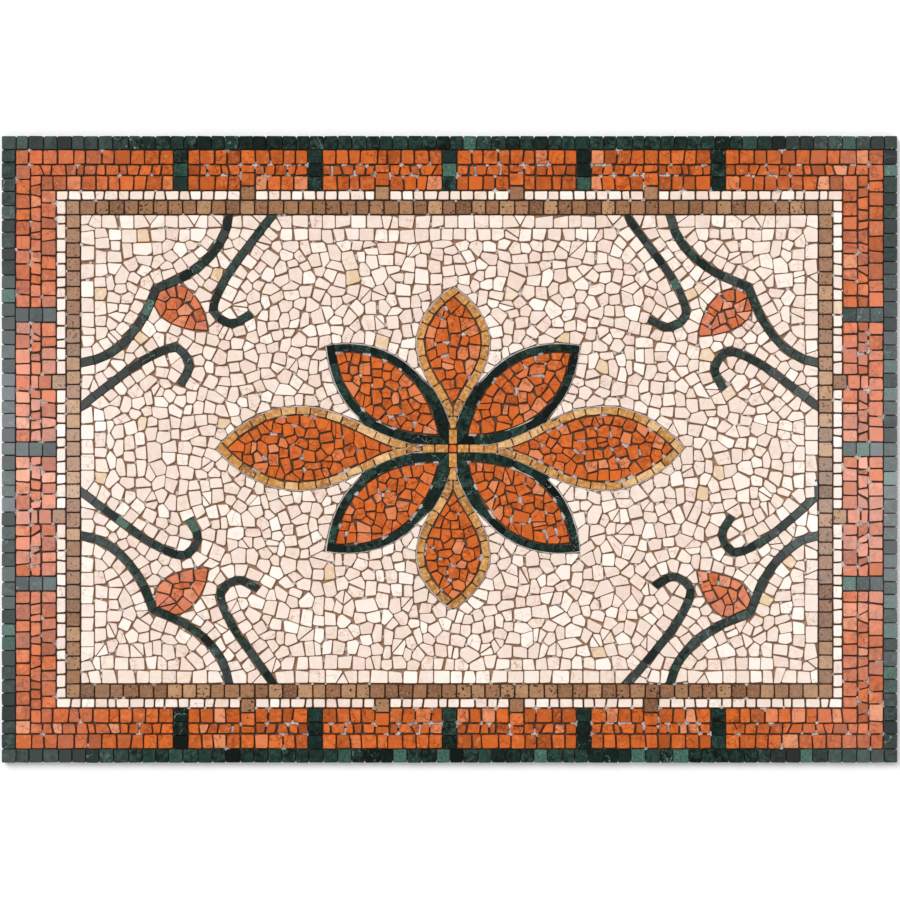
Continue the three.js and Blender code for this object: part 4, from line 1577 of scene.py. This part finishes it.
def coral_marble(colours):
    """Orange-red marble with darker patches, fine cracks and a few pale flecks"""
    recipe = Recipe("coral marble")
    where, tone, cloudy, veined, flecked = stone_grain(recipe)
    dark, coral, pale = shades(colours, "coral_dark", "coral", "coral_pale")
    base = recipe.ramp(tone, [
        (0.0, scaled(coral, 0.62)), (0.2, scaled(coral, 0.85)), (0.5, coral),
        (0.86, scaled(coral, 1.2)), (1.0, pale),
    ])
    clouds = recipe.noise(where, 110, 4.0, 0.62, 0.8)
    body = recipe.tinted(base, dark, recipe.rise(clouds, 0.46, 0.66), cloudy, 0.85)
    light = recipe.rise(recipe.noise(where, 180, 4.0, 0.6), 0.5, 0.72)
    body = recipe.tinted(body, pale, light, flecked, 0.6)
    veins = recipe.veins(where, 170, 0.01, 75, 0.04)
    body = recipe.tinted(body, scaled(dark, 0.45), veins, recipe.rise(veined, 0.2, 0.6, 0.8))
    # Rim and sides darkened: partly worn edge, partly painted shade in the joints.
    body = recipe.tinted(body, scaled(dark, 0.7), recipe.attribute("rim"), 0.4)
    # Painted light: paler and greyer near the middle of both short sides.
    body = recipe.with_end_light_and_veil(body, (0.21, 0.215, 0.22))
    height = recipe.noise(where, 600, 4.0, 0.6)
    return recipe.finish(body, recipe.ramp(clouds, [(0.3, 0.62), (0.7, 0.48)]), height, 0.00014, 0.1)


def gold_marble(colours):
    """Ochre marble, mottled, with a few peach and cream stones"""
    recipe = Recipe("gold marble")
    where, tone, *_ = stone_grain(recipe)
    dark, gold, pale = shades(colours, "gold_dark", "gold", "gold_pale")
    base = recipe.ramp(tone, [
        (0.0, scaled(dark, 1.1)), (0.25, scaled(gold, 0.9)), (0.6, scaled(gold, 1.12)),
        (0.82, pale), (1.0, scaled(pale, 1.15)),
    ])
    clouds = recipe.noise(where, 170, 5.0, 0.7, 0.7)
    body = recipe.tinted(base, dark, recipe.rise(clouds, 0.42, 0.66), 0.7)
    light = recipe.rise(recipe.noise(where, 260, 4.0, 0.65), 0.45, 0.66)
    body = recipe.tinted(body, pale, light, 0.7)
    # Rim and sides darkened: partly worn edge, partly painted shade in the joints.
    body = recipe.tinted(body, scaled(dark, 0.6), recipe.attribute("rim"), 0.35)
    # Painted light: paler and greyer near the middle of both short sides.
    body = recipe.with_end_light_and_veil(body, (0.15, 0.15, 0.15))
    height = recipe.noise(where, 600, 3.0)
    return recipe.finish(body, recipe.ramp(clouds, [(0.3, 0.56), (0.7, 0.44)]), height, 0.0001)


def ivory_marble(colours):
    """Pale marble between cream and pink, with faint veins, pits and a few tan stones"""
    recipe = Recipe("ivory marble")
    where, tone, cloudy, veined, stained = stone_grain(recipe)
    pink, ivory, pale, tan = shades(colours, "ivory_pink", "ivory", "ivory_pale", "ivory_tan")
    base = recipe.ramp(tone, [
        (0.0, pink), (0.2, scaled(ivory, 0.95)), (0.6, ivory), (0.975, pale), (0.985, pale),
        (0.99, tan), (1.0, tan),
    ])
    clouds = recipe.noise(where, 100, 4.0, 0.62, 0.5)
    body = recipe.tinted(base, pink, recipe.rise(clouds, 0.48, 0.72), cloudy, 0.9)
    stain = recipe.rise(recipe.noise(where, 130, 4.0, 0.65, 0.6), 0.5, 0.72)
    body = recipe.tinted(body, scaled(tan, 0.95), stain, recipe.rise(stained, 0.55, 0.95, 0.75))
    light = recipe.rise(recipe.noise(where, 150, 3.0, 0.6), 0.5, 0.75)
    body = recipe.tinted(body, pale, light, 0.5)
    veins = recipe.veins(where, 150, 0.012, 70, 0.03)
    body = recipe.tinted(body, (0.42, 0.17, 0.1), veins, recipe.rise(veined, 0.6, 0.92, 0.75))
    specks = recipe.rise(recipe.noise(where, 520, 3.0, 0.6), 0.64, 0.75, 0.55)
    body = recipe.tinted(body, (0.5, 0.33, 0.23), specks, stained)
    # Rim and sides darkened: partly worn edge, partly painted shade in the joints.
    body = recipe.tinted(body, scaled(tan, 0.7), recipe.attribute("rim"), 0.35)
    # Painted light: paler and greyer near the middle of both short sides.
    body = recipe.with_end_light_and_veil(body, (0.09, 0.12, 0.14))
    height = recipe.noise(where, 500, 4.0, 0.6)
    return recipe.finish(body, recipe.ramp(clouds, [(0.3, 0.6), (0.7, 0.5)]), height, 0.00014)


def brown_travertine(colours):
    """Brown travertine with pits and pale speckles"""
    recipe = Recipe("travertine")
    where, tone, holed, *_ = stone_grain(recipe)
    dark, brown, pale = shades(colours, "travertine_dark", "travertine", "travertine_pale")
    base = recipe.ramp(tone, [
        (0.0, dark), (0.25, scaled(brown, 0.9)), (0.6, scaled(brown, 1.15)), (0.85, pale),
        (1.0, scaled(pale, 1.25)),
    ])
    clouds = recipe.noise(where, 160, 5.0, 0.7, 0.6)
    body = recipe.tinted(base, dark, recipe.rise(clouds, 0.42, 0.68), 0.5)
    flecks = recipe.rise(recipe.noise(where, 460, 4.0, 0.75), 0.48, 0.68)
    body = recipe.tinted(body, pale, flecks, 0.75)
    pits = recipe.ramp(recipe.noise(where, 330, 2.0, 0.5), [(0.33, 1.0), (0.39, 0.0)])
    # The pits are painted near-black: painted shade in the holes, which the relief also sinks.
    body = recipe.tinted(body, scaled(dark, 0.12), pits, recipe.rise(holed, 0.15, 0.5))
    # Rim and sides darkened: partly worn edge, partly painted shade in the joints.
    body = recipe.tinted(body, scaled(dark, 0.55), recipe.attribute("rim"), 0.5)
    # Painted light: paler and greyer near the middle of both short sides.
    body = recipe.with_end_light_and_veil(body, (0.18, 0.185, 0.185))
    grain = recipe.noise(where, 500, 4.0, 0.6)
    height = recipe.math("SUBTRACT", grain, recipe.math("MULTIPLY", pits, 2.5))
    return recipe.finish(body, 0.6, height, 0.00016)


def net_with_film(colours):
    """Pale glass-fibre net, cloudy with its glue"""
    recipe = Recipe("net with glue film")
    place = recipe.node("TexCoord").outputs["Object"]
    net, glue = shades(colours, "net", "glue")
    clouds = recipe.noise(place, 60, 4.0, 0.6)
    body = recipe.mix(recipe.rise(clouds, 0.35, 0.7), glue, net)
    return recipe.finish(body, 0.8, recipe.noise(place, 800, 4.0, 0.6), 0.0002)


def brown_dust(colours, name="brown dust", strength=1.0):
    """Brown dust and grit over the glue between the stones, darker under the border's dark rows"""
    recipe = Recipe(name)
    place = recipe.node("TexCoord").outputs["Object"]
    # The strength darkens all the dust. The petals' lower strength is painted shade of their joints.
    dust = scaled(tuple(colours.dust), strength)
    split = recipe.node("SeparateXYZ", {"Vector": place}).outputs
    in_field = 1.0
    for axis, room in (("X", FIELD_X), ("Y", FIELD_Y)):
        near = recipe.math("LESS_THAN", recipe.math("ABSOLUTE", split[axis]), room)
        in_field = recipe.math("MULTIPLY", in_field, near)
    clouds = recipe.rise(recipe.noise(place, 90, 4.0, 0.6), 0.3, 0.7)
    body = recipe.mix(clouds, scaled(dust, 0.85), scaled(dust, 1.25))
    body = recipe.mix(in_field, scaled(dust, 0.22), body)
    grit = recipe.rise(recipe.noise(place, 900, 3.0, 0.7), 0.4, 0.7, 0.7)
    body = recipe.mix(grit, body, scaled(dust, 0.45))
    return recipe.finish(body, 0.9, recipe.noise(place, 1000, 4.0, 0.6), 0.0003)


def petal_dust(colours):
    """The dust between the stones of the petals, darkened as painted shade of their joints"""
    return brown_dust(colours, "petal dust and shade", PETAL_DUST_SHADE)


def grey_glue(colours):
    """Pale grey glue, a little dusty, with glass-fibre showing in it"""
    recipe = Recipe("grey glue")
    place = recipe.node("TexCoord").outputs["Object"]
    net, glue, dust = shades(colours, "net", "glue", "dust")
    body = recipe.mix(recipe.rise(recipe.noise(place, 150, 3.0, 0.6), 0.4, 0.7), glue, net)
    dusty = recipe.rise(recipe.noise(place, 420, 3.0, 0.7), 0.45, 0.7, 0.6)
    body = recipe.mix(dusty, body, dust)
    return recipe.finish(body, 0.85, recipe.noise(place, 1200, 4.0, 0.6), 0.0002)


MAKERS = {
    "green": green_marble,
    "coral": coral_marble,
    "gold": gold_marble,
    "ivory": ivory_marble,
    "travertine": brown_travertine,
    "net": net_with_film,
    "glue": grey_glue,
    "dust": brown_dust,
    "petal_dust": petal_dust,
}
MATERIALS = {}


def material_of(kind):
    """The material of a kind of stone or of the net, made once"""
    if kind not in MATERIALS:
        MATERIALS[kind] = MAKERS[kind](bpy.context.scene.mosaic_colours)
    return MATERIALS[kind]


TUMBLED = ("ivory", "travertine")


def lay_nodes(names, lean=0.022):
    """Lays the stones of some of the panel's nodes"""
    sizes = bpy.context.scene.mosaic_sizes
    stones = laid_stones(sizes)
    for name in names:
        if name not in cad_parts:
            raise RuntimeError(f"the frame has no node {name}")
        kind = "travertine" if name == "travertine_row" else stone_of(name)
        seed = 100 + sorted(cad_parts).index(name)
        rim = sizes.tumbled_rim if kind in TUMBLED else sizes.sawn_rim
        lay_stones(name, stones[name], kind, seed, rim, lean)


class MOSAIC_OT_lay_backing(bpy.types.Operator):
    """Make the glass-fibre net with its film of glue, under every stone"""

    bl_idname = "mosaic.lay_backing"
    bl_label = "Net and glue film"

    def execute(self, context):
        film = flat_block("net_and_glue_film", HALF_LENGTH, HALF_WIDTH, STRAND_HEIGHT * 0.8, FOOT)
        strands = []
        for along_x in (True, False):
            reach, room = (HALF_LENGTH, HALF_WIDTH) if along_x else (HALF_WIDTH, HALF_LENGTH)
            count = int(2 * room / NET_PITCH)
            half = STRAND_WIDTH / 2
            sizes = (reach - NET_SHORT, half) if along_x else (half, reach - NET_SHORT)
            strand = flat_block("strand", *sizes, 0.0, STRAND_HEIGHT)
            first = -NET_PITCH * (count - 1) / 2
            points = points_of(strand.data)
            points[:, 1 if along_x else 0] += first
            strand.data.vertices.foreach_set("co", points.ravel())
            apply_modifier(strand, "BEVEL", width=STRAND_BEVEL, segments=1)
            step = (0, NET_PITCH, 0) if along_x else (NET_PITCH, 0, 0)
            apply_modifier(
                strand, "ARRAY", count=count, use_relative_offset=False,
                use_constant_offset=True, constant_offset_displace=step,
            )
            strands.append(strand)
        only(film)
        for strand in strands:
            strand.select_set(True)
        bpy.ops.object.join()
        film.data.materials.append(material_of("net"))
        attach(film, "root")
        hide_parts("mesh_backing")
        return {"FINISHED"}


class MOSAIC_OT_squeeze_glue(bpy.types.Operator):
    """Let the glue stand in the wide joints, in lines along the flower and in lumps elsewhere"""

    bl_idname = "mosaic.squeeze_glue"
    bl_label = "Glue in the joints"

    def execute(self, context):
        stones = laid_stones(context.scene.mosaic_sizes)
        rng = np.random.default_rng(61)
        verts, edges = [], []
        for line in glue_lines(LAID["lines"]):
            first = len(verts)
            verts += [(x, y, FOOT) for x, y in line]
            edges += [(k, k + 1) for k in range(first, len(verts) - 1)]
        lines = new_piece("glue_lines", verts, [], edges)
        raise_up(GLUE_LINE_FOOT, GLUE_TOP - FOOT - GLUE_LINE_FOOT)
        apply_modifier(lines, "SOLIDIFY", thickness=GLUE_LINE_WIDTH, offset=0, use_even_offset=True)
        points = points_of(lines.data)
        top = points[:, 2] > GLUE_TOP - 0.0002
        points[top, 2] += rng.uniform(*GLUE_LINE_UNEVEN, top.sum())
        lines.data.vertices.foreach_set("co", points.ravel())
        lines.data.update()

        verts, faces = [], []
        turns = np.arange(LUMP_CORNERS) / LUMP_CORNERS * 2 * np.pi
        ring = np.column_stack([np.cos(turns), np.sin(turns)])
        for (x, y), reach in zip(*glued_places(wide_gaps(stones, rng), LAID["lines"], rng)):
            high = rng.uniform(*GLUE_HEIGHTS)
            uneven = rng.uniform(0.6, 1.15, (LUMP_CORNERS, 1))
            add_stack(verts, faces, [
                [(x + u, y + v, z) for u, v in ring * reach * share * uneven]
                for share, z in ((1.0, FOOT), (0.95, high - 0.0004), (0.6, high))
            ])
        lumps = new_piece("glue_lumps", verts, faces)
        bed = flat_block("joint_bed", HALF_LENGTH - BED_MARGIN, HALF_WIDTH - BED_MARGIN, FOOT * 0.9, BED_TOP)
        petals = petal_bed(LAID["lines"])
        kinds = ((lines, "glue"), (lumps, "glue"), (bed, "dust"), (petals, "petal_dust"))
        for piece, kind in kinds:
            only(piece)
            face_outwards()
            bpy.ops.object.shade_smooth_by_angle(angle=math.radians(60))
            piece.data.materials.append(material_of(kind))
            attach(piece, "root")
        return {"FINISHED"}


class MOSAIC_OT_lay_border(bpy.types.Operator):
    """Lay the green squares and bars, the ivory row and the brown squares of the border"""

    bl_idname = "mosaic.lay_border"
    bl_label = "Green, ivory and brown rows"

    def execute(self, context):
        lay_nodes(["green_border", "ivory_row", "travertine_row"], 0.016)
        return {"FINISHED"}


class MOSAIC_OT_lay_coral_band(bpy.types.Operator):
    """Lay the coral blocks between the bars and the angles in the corners"""

    bl_idname = "mosaic.lay_coral_band"
    bl_label = "Coral band"

    def execute(self, context):
        lay_nodes(sorted(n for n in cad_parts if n.startswith(("coral_block", "coral_corner"))))
        return {"FINISHED"}


class MOSAIC_OT_lay_flower(bpy.types.Operator):
    """Lay the gold and green edgings of the flower, its coral petals and its middle stone"""

    bl_idname = "mosaic.lay_flower"
    bl_label = "Flower"

    def execute(self, context):
        starts = ("gold_edging", "green_edging", "coral_petal", "centre_stone")
        lay_nodes(sorted(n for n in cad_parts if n.startswith(starts)))
        return {"FINISHED"}


class MOSAIC_OT_lay_scrolls(bpy.types.Operator):
    """Lay the vines, the tendrils and the buds in the corners of the field"""

    bl_idname = "mosaic.lay_scrolls"
    bl_label = "Corner scrolls"

    def execute(self, context):
        lay_nodes(sorted(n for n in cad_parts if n.startswith(("vine", "tendril", "bud"))))
        return {"FINISHED"}


class MOSAIC_OT_lay_field(bpy.types.Operator):
    """Lay the ivory field and the four corners of it that the vines cut off"""

    bl_idname = "mosaic.lay_field"
    bl_label = "Ivory field"

    def execute(self, context):
        lay_nodes(sorted(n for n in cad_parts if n.startswith("ivory_field")), 0.03)
        return {"FINISHED"}


class MOSAIC_OT_set_stage(bpy.types.Operator):
    """Set the pale floor, the soft lights and the camera over the panel"""

    bl_idname = "mosaic.set_stage"
    bl_label = "Floor, lights and camera"

    def execute(self, context):
        stage = context.scene.mosaic_stage
        floor = new_piece("floor", rectangle(FLOOR_REACH, FLOOR_REACH, FLOOR), [(0, 1, 2, 3)])
        recipe = Recipe("pale floor")
        place = recipe.node("TexCoord").outputs["Object"]
        pale = tuple(stage.floor)
        shade = recipe.mix(recipe.noise(place, 3, 2.0), pale, scaled(pale, 0.985))
        floor.data.materials.append(recipe.finish(shade, 0.9, recipe.noise(place, 40), 0.0001))

        lamp_data = bpy.data.lights.new("soft lamp", "SUN")
        lamp_data.angle = stage.lamp_spread
        lamp_data.energy = stage.lamp
        lamp = bpy.data.objects.new("soft lamp", lamp_data)
        lamp.location = (-1.5, 1.7, 2.6)
        aim = math.atan2(math.hypot(lamp.location.x, lamp.location.y), lamp.location.z)
        lamp.rotation_euler = (aim, 0, math.atan2(lamp.location.x, -lamp.location.y))
        context.scene.collection.objects.link(lamp)

        world = bpy.data.worlds.new("even light")
        world.use_nodes = True
        world.node_tree.nodes["Background"].inputs["Color"].default_value = (1, 1, 1, 1)
        world.node_tree.nodes["Background"].inputs["Strength"].default_value = stage.sky
        context.scene.world = world

        camera_data = bpy.data.cameras.new("camera")
        camera_data.sensor_width = 36
        camera_data.lens = 36 * stage.camera_height / stage.view_width
        camera_data.clip_end = 50
        camera = bpy.data.objects.new("camera", camera_data)
        camera.location = (0.00056, -0.00078, TOP + stage.camera_height)
        context.scene.collection.objects.link(camera)
        context.scene.camera = camera
        context.scene.view_settings.view_transform = "Standard"
        return {"FINISHED"}


class MOSAIC_PT_panel(bpy.types.Panel):
    """The steps of laying the mosaic, with its sizes and colours"""

    bl_idname = "MOSAIC_PT_panel"
    bl_label = "Marble Mosaic Panel"
    bl_space_type = "VIEW_3D"
    bl_region_type = "UI"
    bl_category = "Mosaic"

    def draw(self, context):
        for group in (context.scene.mosaic_sizes, context.scene.mosaic_colours, context.scene.mosaic_stage):
            box = self.layout.box()
            for name in group.__annotations__:
                box.prop(group, name)
        for operator in OPERATORS:
            self.layout.operator(operator.bl_idname)


OPERATORS = (
    MOSAIC_OT_lay_backing,
    MOSAIC_OT_lay_border,
    MOSAIC_OT_lay_coral_band,
    MOSAIC_OT_lay_flower,
    MOSAIC_OT_lay_scrolls,
    MOSAIC_OT_lay_field,
    MOSAIC_OT_squeeze_glue,
    MOSAIC_OT_set_stage,
)
GROUPS = {"mosaic_sizes": StoneSizes, "mosaic_colours": StoneColours, "mosaic_stage": StageSettings}


def register():
    for group in GROUPS.values():
        bpy.utils.register_class(group)
    for name, group in GROUPS.items():
        setattr(bpy.types.Scene, name, PointerProperty(type=group))
    for operator in OPERATORS:
        bpy.utils.register_class(operator)
    bpy.utils.register_class(MOSAIC_PT_panel)


def unregister():
    bpy.utils.unregister_class(MOSAIC_PT_panel)
    for operator in reversed(OPERATORS):
        bpy.utils.unregister_class(operator)
    for name, group in GROUPS.items():
        delattr(bpy.types.Scene, name)
        bpy.utils.unregister_class(group)


def main():
    """Lays the whole panel"""
    register()
    bpy.ops.mosaic.lay_backing()
    bpy.ops.mosaic.lay_border()
    bpy.ops.mosaic.lay_coral_band()
    bpy.ops.mosaic.lay_flower()
    bpy.ops.mosaic.lay_scrolls()
    bpy.ops.mosaic.lay_field()
    bpy.ops.mosaic.squeeze_glue()
    bpy.ops.mosaic.set_stage()


if __name__ == "__main__":
    main()
